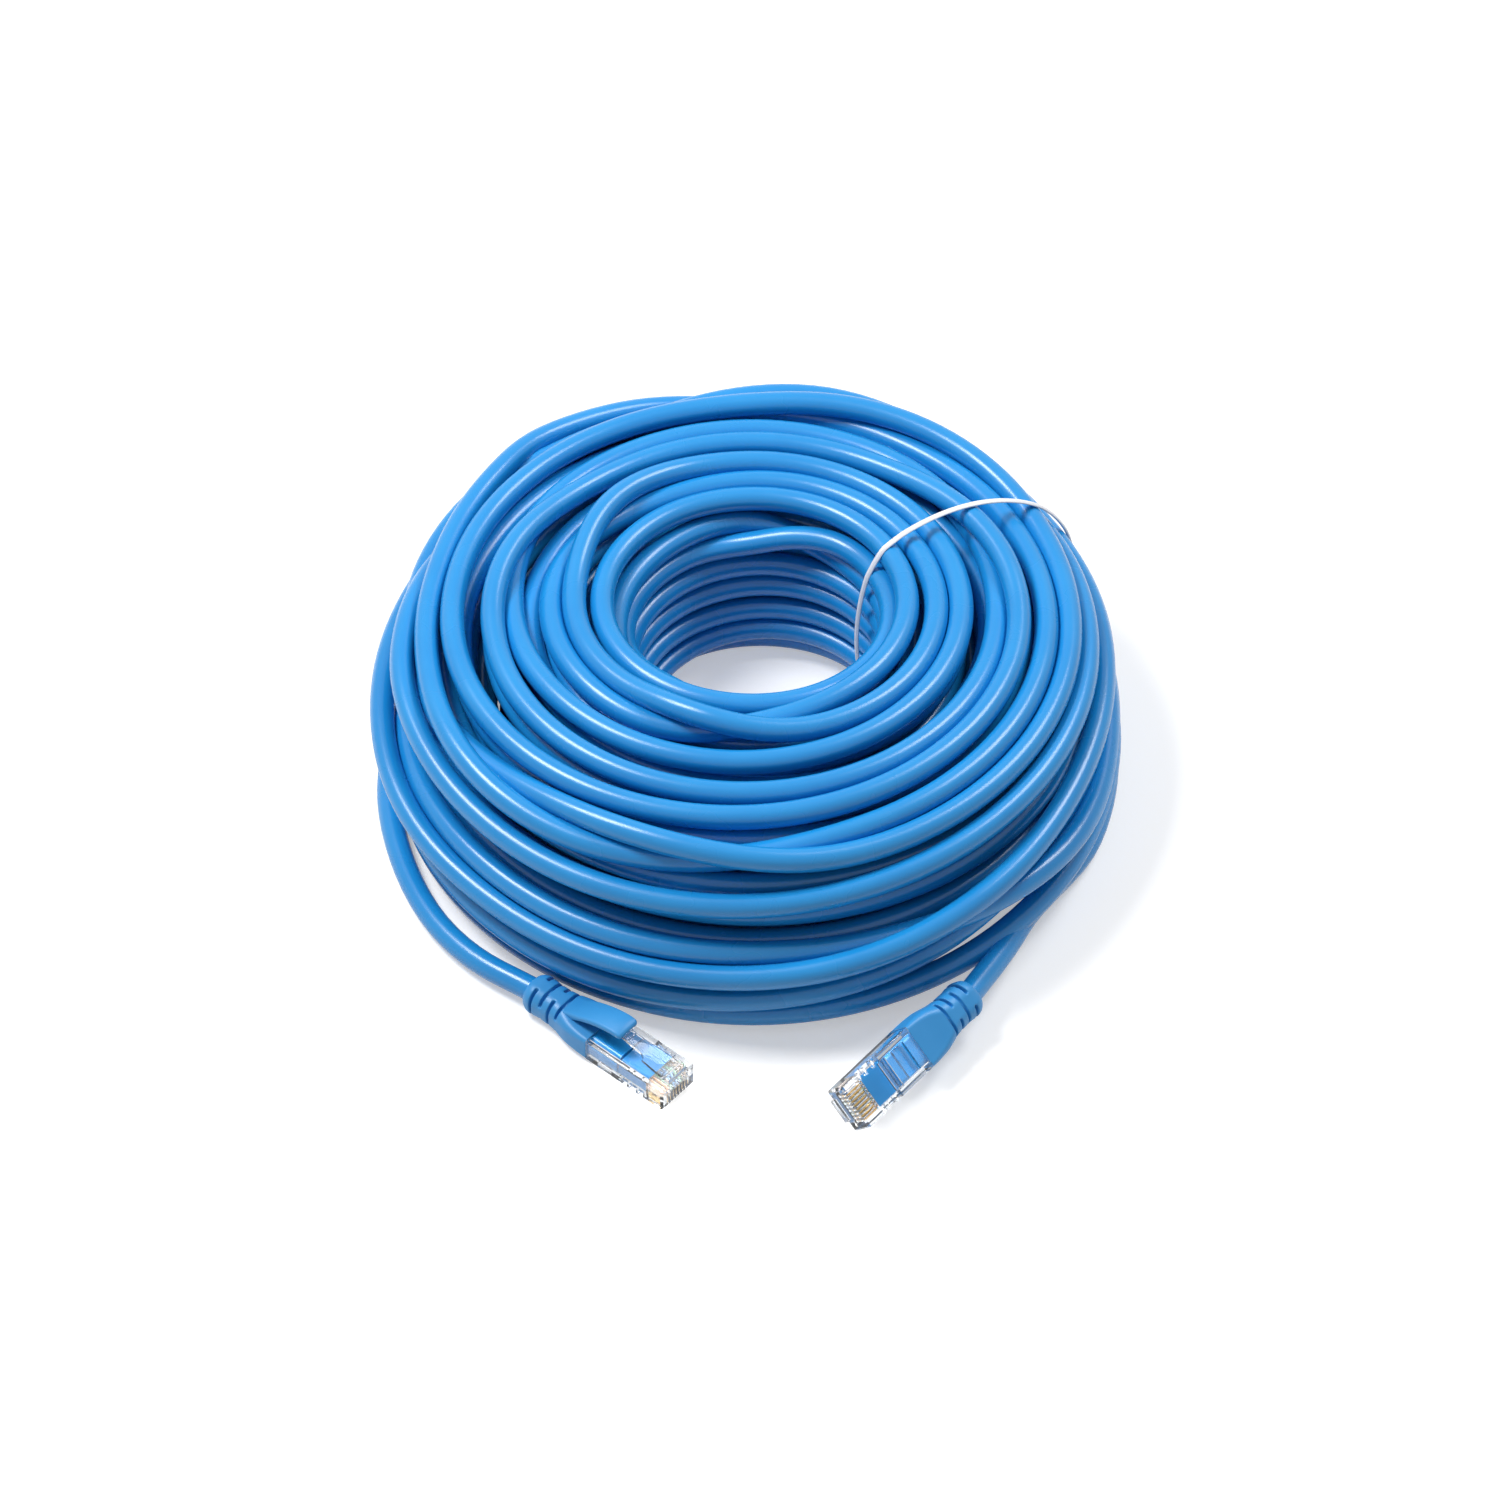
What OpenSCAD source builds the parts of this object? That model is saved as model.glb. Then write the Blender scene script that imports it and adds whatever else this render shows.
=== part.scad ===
// Ethernet patch cable: one long round cable wound into a ring-shaped coil that lies flat, held by
// a wire tie, with an 8P8C modular plug in a moulded boot on each of its two ends.
// Millimetres, +Z up. The origin is the middle of the part's footprint, on the surface it lies on.

/* [Cable] */
// Diameter of the cable's jacket
cable_d = 6; // [5.4:0.1:6.3]

/* [Coil] */
// Radius of the coil's outer side
coil_out_r = 91; // [89:0.5:96]
// Radius of the hole through the coil
coil_in_r = 31; // [28:0.5:32]
// How far the hole lies behind the middle of the coil, towards +Y
hole_shift = 9; // [6:0.5:10]
// Height of the coil
coil_h = 50; // [49:0.5:56]
// Turns on the surface of the coil, from one tail to the other
surface_turns = 22.5; // [18.5:1:22.5]
// Rounding of the outer bottom edge, where the coil sags onto the surface
round_out_low = 9; // [8:0.5:12]
// Rounding of the outer top edge
round_out_top = 21; // [16:0.5:22]
// Rounding of the hole's top edge
round_in_top = 19; // [14:0.5:21]
// Rounding of the hole's bottom edge
round_in_low = 15; // [10:0.5:18]

/* [Plug housing] */
// Length of the clear housing, from the boot to the nose
housing_l = 23.8; // [22.6:0.2:25]
// Width of the housing, which a jack sets
housing_w = 11.68; // [11.58:0.02:11.78]
// Height of the housing without its latch
housing_h = 6.6; // [6.5:0.05:6.7]
// Thickness of the housing's side walls
side_wall = 1.44; // [1.2:0.02:1.5]
// Thickness of the walls on the contact side and the latch side
flat_wall = 0.85; // [0.7:0.05:1]

/* [Contacts and wires] */
// Distance from one contact to the next
contact_pitch = 1.02; // [1:0.01:1.04]
// Thickness of a contact blade
contact_t = 0.35; // [0.3:0.01:0.38]
// Length of a contact blade
contact_l = 4.2; // [4:0.1:4.4]
// Depth of the contacts' edges below the housing's face
contact_sink = 0.55; // [0.4:0.05:0.7]
// Diameter of one insulated wire
wire_d = 0.88; // [0.84:0.01:0.9]

/* [Latch] */
// Width of the latch at its shoulders
latch_w = 6; // [5.8:0.1:6.4]
// Width of the latch's finger tab
latch_tab_w = 3.5; // [3:0.05:3.8]
// Length of the latch from its root to the end of its tab
latch_l = 15.4; // [14.4:0.1:16]
// Length of the latch's wide part
latch_wide_l = 6.4; // [5.6:0.1:7]
// Thickness of the latch
latch_t = 0.8; // [0.7:0.05:0.9]
// Angle between the free latch and the housing
latch_angle = 12; // [11.5:0.5:13]

/* [Boot] */
// Length of the boot
boot_l = 21.6; // [21.2:0.2:23]
// Width of the boot where it meets the housing
boot_w = 11.9; // [11.7:0.05:12.2]
// Height of the boot where it meets the housing
boot_h = 6.9; // [6.8:0.05:7.2]
// Length of the ribbed strain relief
relief_l = 10.6; // [10.4:0.1:10.8]
// Wall of the strain relief
relief_wall = 1.2; // [1:0.05:1.4]
// Distance from one slot of the strain relief to the next
slot_pitch = 2.7; // [2.4:0.05:2.7]
// Width of a slot of the strain relief
slot_w = 0.8; // [0.6:0.05:1]

/* [Latch guard] */
// Width of the guard over the latch
guard_w = 6.8; // [6.4:0.1:7.4]
// Thickness of the guard
guard_t = 1.1; // [0.9:0.05:1.2]
// Depth of the skirts along the guard's sides
guard_skirt = 1.2; // [0.8:0.1:1.4]
// Reach of the guard past the boot's front face
guard_reach = 8.6; // [8.2:0.1:9]

/* [Tie] */
// Width of the tie
tie_w = 1.6; // [1.2:0.1:2]
// Thickness of the tie
tie_t = 0.9; // [0.6:0.1:1]
// Direction of the tie, counted from +X
tie_angle = 33; // [20:1:50]
// Length of the twisted ends of the tie
twist_l = 18; // [12:1:24]

/* [Hidden] */

$fn = 48;
cable_r = cable_d / 2;
eps = 0.01;
fit = 0.05;          // gap between pieces moulded or pushed together
hinge_gap = 0.1;     // gap round the root of a piece that bends

// The middle of the coil, from the origin
coil_centre = [1.06, 18.28, 0];

// The section of the coil, along the middle line of its outer layer of cable
low_cut = 0.1 * cable_d;                    // how far the cable is cut flat where it lies
section_out = coil_out_r - cable_r;
section_in = coil_in_r + cable_r;
section_low = cable_r - low_cut;
section_top = coil_h - cable_r;
rings = 24;                                 // rings of the tube in one turn
tube_sides = 6;
start_angle = tie_angle - 60;               // where the first turn starts, so that the tie crosses at rings
start_run = 8;                              // its place on the section, from the lowest point

// Where each boot's cable end is, as [direction, distance out from the coil's side, height], and how
// its plug lies
end_a = [-121.72, 6.57, 4.4];
heading_a = -40.3;
pitch_a = 0.9;
end_b = [-59.81, 11.62, 9.2];
heading_b = -129.6;
roll_b = 138;

// The free stretches of the cable, in the same form
route_a = [[165.39, -5.74, 3.2], [176.08, -3.29, 3], [-174.92, -0.64, 3], [-166.8, 0.93, 3],
    [-157.69, 2.5, 3], [-148.47, 4.61, 3], [-139.78, 6.57, 3.1], [-131.49, 7.12, 3.6]];
route_b = [[-40.52, -2.34, 5.8], [-46.71, 1.32, 6.4], [-51.85, 5.02, 7.6]];
tail_sides = 10;

// The plug, in its own frame: x = 0 where boot and housing meet, +X to the nose, +Z to the latch
face_z = housing_h / 2;
cavity_w = housing_w - 2 * side_wall;
cavity_h = housing_h - 2 * flat_wall;
nose_l = 5.4;                               // solid nose in front of the cavity
cavity_l = housing_l - nose_l;
bar_start = 9.8;                            // rear face of the load bar
bar_z = -0.95;                              // its face in the pocket
jacket_l = 9.2;                             // length of jacket held inside the housing
wire_z = 0.35;
wire_end = housing_l - 1.2;
wire_bore = wire_d + 0.04;
blade_end = housing_l - 0.7;
blade_start = blade_end - contact_l;
tooth_places = [0.5, 2.6];                  // from the blade's rear end
blade_back = -face_z + 2.4;
tooth_w = 0.7;
tooth_z = wire_z - 0.1;
slot_wide = contact_t + 0.07;
window_x = 3;
window_l = 4.4;
window_w = cavity_w - 1;
crimp_x = 9.6;
crimp_l = 1.8;
pocket_x = 11.8;
notch_l = 6.6;                              // notches beside the pocket
notch_h = 1.7;
root_x = housing_l - 2.5;                   // latch's hinge line
root_z = face_z + 1.05;
root_r = 0.72;
root_l = 2.2;

// The boot and its guard
relief_r = cable_r + relief_wall;
relief_rear_w = relief_r + 0.25;            // half widths of the strain relief
relief_front_w = relief_r + 0.65;
block_l = boot_l - relief_l;
last_slot = -10.2;                          // front wall of the slot next to the guard
slot_floor = 1.7;                           // a slot's ends, from the boot's middle
guard_knuckle = 0.7;
guard_x = last_slot + 0.5 + guard_knuckle + hinge_gap;      // guard's hinge line
guard_z = cable_r + fit + guard_knuckle;
latch_tip_z = root_z + latch_l * sin(latch_angle) + latch_t / 2;
guard_clear = 0.5;                          // between the free latch and the guard
guard_top = latch_tip_z + guard_clear + guard_t;
guard_apex_x = guard_reach - 0.4;
guard_rise = guard_top - guard_t / 2 - guard_z;
guard_run = guard_apex_x - guard_x;
guard_r = (guard_run * guard_run + guard_rise * guard_rise) / (2 * guard_rise);
guard_centre_z = guard_top - guard_t / 2 - guard_r;
skirt_x = -2;
skirt_t = 1;
guard_bevel = 0.6;
arm_t = guard_t - 0.2;                      // the arm from the hinge to the crown
lip_r = guard_t / 2 + 0.12;                 // thickened lip at the guard's tip

// The tie
tie_clear = 0.05;
tie_line = cable_r + tie_clear + tie_t / 2;
strand_r = 0.55;
twist_pitch = 4.5;
twist_z = 14;

// Shades
blue = [0.13, 0.5, 0.8];
clear = [0.85, 0.9, 0.92, 0.45];
gold = [0.83, 0.66, 0.3];

// ---------------------------------------------------------------- functions

function on_circle(r, a) = r * [cos(a), sin(a)];
function arc(centre, r, from, to, steps) =
    [for (i = [0:steps]) centre + on_circle(r, from + (to - from) * i / steps)];

// Outline of the coil's section in one direction, as [radius, height] from the coil's axis, grown by out
function section(angle, out, steps) =
    let (inner = section_in + hole_shift * sin(angle))
    concat(
        arc([section_out - round_out_low, section_low + round_out_low], round_out_low + out, -90, 0, steps),
        arc([section_out - round_out_top, section_top - round_out_top], round_out_top + out, 0, 90, steps),
        arc([inner + round_in_top, section_top - round_in_top], round_in_top + out, 90, 180, steps),
        arc([inner + round_in_low, section_low + round_in_low], round_in_low + out, 180, 270, steps));

// For an outline: the distance run along it, the radius and the height at each of its corners, once round
function run_table(outline) =
    let (corners = len(outline),
        sides = [for (i = [0:corners - 1]) norm(outline[(i + 1) % corners] - outline[i])],
        runs = [for (i = 0, run = 0; i <= corners; run = run + (i < corners ? sides[i] : 0), i = i + 1) run])
    [runs, [for (i = [0:corners]) [runs[i] / runs[corners], outline[i % corners][0]]],
        [for (i = [0:corners]) [runs[i] / runs[corners], outline[i % corners][1]]]];

// One table for each of the rings in a turn
tables = [for (k = [0:rings - 1]) run_table(section(start_angle + 360 * k / rings, 0, 16))];
first_share = start_run / tables[0][0][len(tables[0][0]) - 1];

// A point of the winding's middle line, a number of rings after its start
last_ring = surface_turns * rings;
function share_of(i) = (first_share + i / rings / (surface_turns + 0.5)) % 1;
function wound(i) =
    let (a = start_angle + 360 * i / rings, table = tables[i % rings], s = share_of(i))
    coil_centre + [each on_circle(lookup(s, table[1]), a), lookup(s, table[2])];

function unit(v) = v / norm(v);
wound_from = unit(wound(1) - wound(0) - 0.5 * (wound(2) - 2 * wound(1) + wound(0)));
wound_to = unit(wound(last_ring) - wound(last_ring - 1)
    + 0.5 * (wound(last_ring) - 2 * wound(last_ring - 1) + wound(last_ring - 2)));
wound_line = concat([wound(0) - cable_d * wound_from], [for (i = [0:last_ring]) wound(i)],
    [wound(last_ring) + cable_d * wound_to]);

// The direction of a line of points at each of them, with its ends as given
function heading_at(line, i) = unit(unit(line[i + 1] - line[i]) + unit(line[i] - line[i - 1]));
function headings(line, first, last) = [for (i = [0:len(line) - 1])
    i == 0 ? first : i == len(line) - 1 ? last : heading_at(line, i)];

// A ring of points round each point of a line, square to the line
function ring(p, dir, wide, high, sides) =
    let (side = unit(cross(dir, [0, 0, 1])), up = cross(side, dir))
    [for (k = [0:sides - 1]) p + wide * cos(360 * k / sides) * side + high * sin(360 * k / sides) * up];

// Triangles of a tube with closed ends, from its number of rings and sides
function tube_faces(count, sides) = concat(
    [for (k = [1:sides - 2]) [0, k + 1, k]],
    [for (i = [0:count - 2], k = [0:sides - 1])
        [i * sides + k, i * sides + (k + 1) % sides, (i + 1) * sides + k]],
    [for (i = [0:count - 2], k = [0:sides - 1])
        [i * sides + (k + 1) % sides, (i + 1) * sides + (k + 1) % sides, (i + 1) * sides + k]],
    [for (k = [1:sides - 2]) [(count - 1) * sides, (count - 1) * sides + k, (count - 1) * sides + k + 1]]);

// Triangles of a tube that closes on itself
function hoop_faces(count, sides) = concat(
    [for (i = [0:count - 1], k = [0:sides - 1])
        [i * sides + k, i * sides + (k + 1) % sides, ((i + 1) % count) * sides + k]],
    [for (i = [0:count - 1], k = [0:sides - 1])
        let (next = (i + 1) % count)
        [i * sides + (k + 1) % sides, next * sides + (k + 1) % sides, next * sides + k]]);

// Least gap between one turn of the winding and another, measured between its rings
function least_gap() = min([for (i = [1:last_ring + 1 - rings / 2])
    min([for (j = [i + rings / 2:last_ring + 1]) norm(wound_line[i] - wound_line[j])])]) - cable_d;

echo(least_gap_of_the_winding = least_gap());
echo(wound_from_end = wound_line[0] - coil_centre, wound_to_end = wound_line[last_ring + 2] - coil_centre);

// Points given by direction, distance out from the coil's side, and height
function beside_coil(p) = coil_centre + [each on_circle(coil_out_r + p[1], p[0]), p[2]];
boot_end_a = beside_coil(end_a);
boot_end_b = beside_coil(end_b);
function along_coil(route) = [for (p = route) beside_coil(p)];
function nose_dir(heading, pitch) = [cos(heading) * cos(pitch), sin(heading) * cos(pitch), -sin(pitch)];

// ---------------------------------------------------------------- shapes

module tube(line, first, last, r, sides) {
    dirs = headings(line, first, last);
    points = [for (i = [0:len(line) - 1]) each ring(line[i], dirs[i], r, r, sides)];
    polyhedron(points = points, faces = tube_faces(len(line), sides), convexity = 12);
}

// A flat shape drawn in Y and Z, drawn out along +X
module along_x(length) {
    rotate([90, 0, 90]) linear_extrude(length) children();
}

// A flat shape drawn in X and Z, as wide as given, in the middle of Y
module across_y(width) {
    rotate([90, 0, 0]) linear_extrude(width, center = true) children();
}

module rounded_rect(w, h, r) {
    square([w - 2 * r, h], center = true);
    square([w, h - 2 * r], center = true);
    for (sx = [-1, 1], sy = [-1, 1]) translate([sx * (w / 2 - r), sy * (h / 2 - r)]) circle(r);
}

module on_plug_a() {
    translate(boot_end_a) rotate([0, pitch_a, heading_a]) translate([boot_l, 0, 0]) children();
}

module on_plug_b() {
    translate(boot_end_b) rotate([0, 0, heading_b]) rotate([roll_b, 0, 0]) translate([boot_l, 0, 0])
        children();
}

// ---------------------------------------------------------------- coil, tails and tie

// Place of the tie on the coil: X runs out from the coil's axis, Y across the tie
module at_tie() {
    translate(coil_centre) rotate([0, 0, tie_angle]) children();
}

// The outer layer of the coil: one unbroken tube, cut flat where it lies, with a nick for the tie
module cable_coil() {
    dirs = headings(wound_line, wound_from, wound_to);
    points = [for (i = [0:len(wound_line) - 1])
        for (p = ring(wound_line[i], dirs[i], cable_r, cable_r, tube_sides)) [p[0], p[1], max(p[2], 0)]];
    color(blue)
        difference() {
            polyhedron(points = points, faces = tube_faces(len(wound_line), tube_sides), convexity = 12);
            at_tie() translate([coil_in_r - hole_shift, -tie_w / 2 - 0.3, -1])
                cube([coil_out_r - coil_in_r + 2 * hole_shift, tie_w + 0.6, tie_t + 1.4]);
        }
}

// The inner turns, one solid ring under the outer layer
module coil_core() {
    sides = 16;
    points = [for (k = [0:rings - 1])
        let (a = start_angle + 360 * k / rings)
        for (p = section(a, -cable_r - fit * 5, sides / 4 - 1))
            coil_centre + [each on_circle(p[0], a), p[1]]];
    color(blue * 0.6) polyhedron(points = points, faces = hoop_faces(rings, sides), convexity = 4);
}

module cable_tail_a() {
    line = concat([wound_line[last_ring + 2]], along_coil(route_a),
        [boot_end_a - cable_d * nose_dir(heading_a, pitch_a)], [boot_end_a]);
    color(blue) tube(line, wound_to, nose_dir(heading_a, pitch_a), cable_r, tail_sides);
}

module cable_tail_b() {
    line = concat([wound_line[0]], along_coil(route_b),
        [boot_end_b - cable_d * nose_dir(heading_b, 0)], [boot_end_b]);
    color(blue) tube(line, -wound_from, nose_dir(heading_b, 0), cable_r, tail_sides);
}

// The tie goes once round the section of the coil and under it
module tie_band() {
    loop = section(tie_angle, tie_line, 8);
    count = len(loop);
    line = [for (p = loop) [p[0], 0, max(p[1], tie_t / 2 + 0.1)]];
    points = [for (i = [0:count - 1])
        let (dir = unit(line[(i + 1) % count] - line[(i + count - 1) % count]), out = cross([0, 1, 0], dir))
        for (k = [0:5]) line[i] + tie_w / 2 * cos(60 * k) * [0, 1, 0] + tie_t / 2 * sin(60 * k) * out];
    color("white") at_tie() polyhedron(points = points, faces = hoop_faces(count, 6), convexity = 4);
}

// The two ends of the tie, twisted together low on the outer side
module tie_twist() {
    turns = twist_l / twist_pitch;
    steps = round(turns * 6);
    color("white")
        at_tie() translate([coil_out_r + tie_clear + tie_t + 2 * strand_r + 0.1, 0, twist_z])
            for (side = [0, 180]) {
                line = [for (i = [0:steps]) let (a = side + 360 * turns * i / steps)
                    [strand_r * 1.05 * cos(a), twist_l * i / steps, strand_r * 1.05 * sin(a)]];
                tube(line, [0, 1, 0], [0, 1, 0], strand_r, 6);
            }
}

// ---------------------------------------------------------------- plug

function wire_y(i) = (i - 4.5) * contact_pitch;

// The contact blade's outline in X and Z, with two teeth that cut into its wire
module blade_outline() {
    difference() {
        union() {
            translate([blade_start, -face_z + contact_sink])
                square([contact_l, blade_back + face_z - contact_sink]);
            for (place = tooth_places) translate([blade_start + place, 0])
                polygon([[0, blade_back - eps], [tooth_w, blade_back - eps], [tooth_w * 0.8, tooth_z],
                    [tooth_w * 0.2, tooth_z]]);
        }
        translate([blade_end - 0.8, -face_z + contact_sink + 0.8]) difference() {
            translate([0, -1]) square([1, 1]);
            circle(0.8);
        }
    }
}

module contacts() {
    color(gold) for (i = [1:8]) translate([0, wire_y(i), 0]) across_y(contact_t) blade_outline();
}

// One insulated wire, with the cuts that its contact's teeth make
module wire(i) {
    difference() {
        translate([jacket_l, wire_y(i), wire_z]) rotate([0, 90, 0])
            cylinder(h = wire_end - jacket_l, d = wire_d, $fn = 24);
        translate([0, wire_y(i), 0]) across_y(contact_t) blade_outline();
    }
}

module wire_pair(places, shade) {
    color(shade) for (i = places) wire(i);
}

// The guide that spreads the eight wires to the contacts' pitch
module load_bar() {
    color(blue)
        difference() {
            translate([bar_start, 0, 0]) along_x(cavity_l - bar_start - fit)
                rounded_rect(cavity_w - 2 * fit, cavity_h - 2 * fit, 0.6);
            for (i = [1:8]) translate([bar_start - 1, wire_y(i), wire_z]) rotate([0, 90, 0])
                cylinder(h = cavity_l - bar_start + 2, d = wire_bore, $fn = 24);
            translate([bar_start - 1, -cavity_w, bar_z - cavity_h]) cube([cavity_l, 2 * cavity_w, cavity_h]);
        }
}

// The end of the jacket: round in the boot, pressed flat in the housing under its clamp
module jacket_end() {
    color(blue * 0.9) {
        translate([-boot_l, 0, 0]) rotate([0, 90, 0]) cylinder(h = boot_l + eps, r = cable_r);
        difference() {
            along_x(jacket_l) rounded_rect(cavity_w - 2 * fit, cavity_h - 2 * fit, 1.6);
            clamp_shape(fit);
        }
    }
}

// The clamp that is pressed through the housing's window onto the jacket
module clamp_shape(grow) {
    x0 = window_x + 0.5 - grow;
    x1 = window_x + window_l + grow;
    across_y(window_w - 0.4 + 2 * grow)
        polygon([[x0, -face_z + 0.5], [x0 + 1, -face_z + 1.6 + grow], [x1 - 0.8, -face_z + 1.3 + grow],
            [x1, -face_z + flat_wall], [x1, -face_z + 0.2], [x1 - 1.6, -face_z + 0.5]]);
}

// The block on the nose that the latch grows from, with a round seat for the latch's root
module latch_root() {
    difference() {
        across_y(latch_w) difference() {
            translate([root_x, face_z - eps]) square([root_l, root_z + root_r - face_z + 0.35 + eps]);
            translate([root_x + root_l - 0.7, root_z + root_r + 0.35 - 0.7]) difference() {
                square([1, 1]);
                circle(0.7);
            }
        }
        translate([root_x, 0, root_z]) rotate([90, 0, 0])
            cylinder(h = latch_w + 1, r = root_r + hinge_gap, center = true);
    }
}

module housing() {
    color(clear)
        difference() {
            union() {
                difference() {
                    along_x(housing_l) rounded_rect(housing_w, housing_h, 0.45);
                    translate([-1, 0, 0]) along_x(cavity_l + 1) rounded_rect(cavity_w, cavity_h, 0.6);
                    translate([window_x, -window_w / 2, -face_z - 1])
                        cube([window_l, window_w, 2 + flat_wall]);
                    translate([pocket_x, -window_w / 2, -face_z - 1])
                        cube([cavity_l - pocket_x, window_w, 2 + flat_wall]);
                    nose_chamfers();
                    crimp_grooves();
                    side_notches();
                }
                clamp_shape(0);
                latch_root();
            }
            for (i = [1:8]) contact_place(i);
        }
}

// The bevels round the nose that lead the plug into a jack
module nose_chamfers() {
    for (side = [-1, 1]) {
        translate([housing_l, side * housing_w / 2, 0]) rotate([0, 0, 45])
            cube([0.8, 0.8, housing_h + 1], center = true);
        translate([housing_l, 0, side * face_z]) rotate([0, 45, 0])
            cube([0.7, housing_w + 1, 0.7], center = true);
    }
}

// Notches low in both side walls beside the pocket, with two pegs left standing in each
module side_notches() {
    difference() {
        translate([pocket_x - 0.5, -housing_w, -face_z - 1]) cube([notch_l, 2 * housing_w, 1 + notch_h]);
        for (x = [1.6, notch_l - 2.2]) translate([pocket_x - 0.5 + x, -housing_w, -face_z - 1])
            cube([0.6, 2 * housing_w, 3 + notch_h]);
        translate([0, -window_w / 2, -housing_h]) cube([housing_l, window_w, housing_h]);
    }
}

// Two grooves across the contact side, where the wires are clamped
module crimp_grooves() {
    for (x = [crimp_x, crimp_x + crimp_l / 2 + 0.15])
        translate([x, -cavity_w / 2 + 0.3, -face_z - 1]) cube([crimp_l / 2 - 0.15, cavity_w - 0.6, 1.5]);
}

// The space for one wire and its contact: a bore, a slot, and the slot's open front
module contact_place(i) {
    translate([cavity_l - 1, wire_y(i), wire_z]) rotate([0, 90, 0])
        cylinder(h = wire_end - cavity_l + 1 + fit, d = wire_bore, $fn = 24);
    translate([blade_start - fit, wire_y(i) - slot_wide / 2, -face_z - 1])
        cube([contact_l + 2 * fit, slot_wide, wire_z + face_z + 1]);
    translate([blade_end - 1, wire_y(i) - slot_wide / 2, -face_z - 1]) cube([3, slot_wide, 2.4]);
}

// The latch, from its round root at the nose to its finger tab
module latch() {
    color(clear)
        translate([root_x, 0, root_z]) {
            rotate([90, 0, 0]) cylinder(h = latch_w - 0.2, r = root_r, center = true);
            rotate([0, latch_angle, 0]) {
                translate([-latch_wide_l, -latch_w / 2, -latch_t / 2])
                    cube([latch_wide_l - root_r * 0.6, latch_w, latch_t]);
                translate([-latch_l, 0, -latch_t / 2]) linear_extrude(latch_t) tab_outline();
                for (x = [0.9, 2.1, 3.3]) translate([-latch_l + x, 0, latch_t / 2]) rotate([90, 0, 0])
                    cylinder(h = latch_tab_w - 0.8, r = 0.22, center = true, $fn = 24);
            }
        }
}

// The narrow tab in plan, with a round end and a short taper into the wide part
module tab_outline() {
    end_r = 0.9;
    taper_x = latch_l - latch_wide_l;
    for (side = [-1, 1]) translate([end_r, side * (latch_tab_w / 2 - end_r)]) circle(end_r);
    translate([0, -latch_tab_w / 2 + end_r]) square([end_r, latch_tab_w - 2 * end_r]);
    polygon([[end_r, -latch_tab_w / 2], [end_r, latch_tab_w / 2], [taper_x - 1.2, latch_tab_w / 2],
        [taper_x + 0.1, latch_tab_w / 2 + 0.7], [taper_x + 0.1, -latch_tab_w / 2 - 0.7],
        [taper_x - 1.2, -latch_tab_w / 2]]);
}

// ---------------------------------------------------------------- boot and latch guard

// A smooth step from 0 to 1 as t goes from 0 to 1
function ease(t) = t <= 0 ? 0 : t >= 1 ? 1 : t * t * (3 - 2 * t);

// Half the boot's width or height at x: it tapers along the strain relief and swells over the block's
// shoulders
function boot_half(x, rear, middle, front) =
    x < -block_l ? rear + (middle - rear) * (x + boot_l) / relief_l
    : middle + (front - middle) * ease((x + block_l) / (block_l * 0.55));

module boot_outline(rear, middle, front) {
    steps = 14;
    edge = concat([[-boot_l, rear]],
        [for (i = [0:steps]) let (x = -block_l + block_l * 0.55 * i / steps)
            [x, boot_half(x, rear, middle, front)]],
        [[0, front]]);
    polygon(concat(edge, [for (i = [len(edge) - 1:-1:0]) [edge[i][0], -edge[i][1]]]));
}

module boot() {
    color(blue)
        difference() {
            intersection() {
                linear_extrude(4 * relief_r, center = true)
                    boot_outline(relief_rear_w, relief_front_w, boot_w / 2);
                across_y(boot_w + 1) boot_outline(relief_r, relief_r, boot_h / 2);
                union() {
                    boot_length(-boot_l, last_slot) rounded_rect(2 * relief_front_w, 2 * relief_r, 3.2);
                    boot_length(last_slot, 0) rounded_rect(boot_w, 2 * relief_r, 2.2);
                }
            }
            translate([-boot_l - 1, 0, 0]) rotate([0, 90, 0]) cylinder(h = boot_l + 2, r = cable_r + fit);
            relief_slots();
            guard_seat();
        }
}

// A section drawn along the boot between two places
module boot_length(from, to) {
    translate([from - eps, 0, 0]) along_x(to - from + eps) children();
}

// Slots that let the strain relief bend: those of the sides and those of the flat faces take turns
module relief_slots() {
    for (i = [0:3]) translate([last_slot - slot_w - i * slot_pitch, 0, 0])
        rotate([i % 2 == 0 ? 0 : 90, 0, 0]) slot_pair();
}

// Two opposite slots, each about a third of the way round
module slot_pair() {
    difference() {
        translate([0, -boot_w, -boot_w]) cube([slot_w, 2 * boot_w, 2 * boot_w]);
        translate([-1, 0, 0]) rotate([0, 90, 0]) cylinder(h = slot_w + 2, r = cable_r + 0.4);
        translate([-1, -boot_w - 1, -slot_floor]) cube([slot_w + 2, 2 * boot_w + 2, 2 * slot_floor]);
    }
}

// The round seat of the guard's root, and the room in which its arch swings down
module guard_seat() {
    translate([guard_x, 0, guard_z]) rotate([90, 0, 0])
        cylinder(h = guard_w + 0.4, r = guard_knuckle + hinge_gap, center = true);
    translate([guard_x, -guard_w / 2 - 0.2, guard_z - 0.35]) cube([3, guard_w + 0.4, 3]);
}

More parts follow.
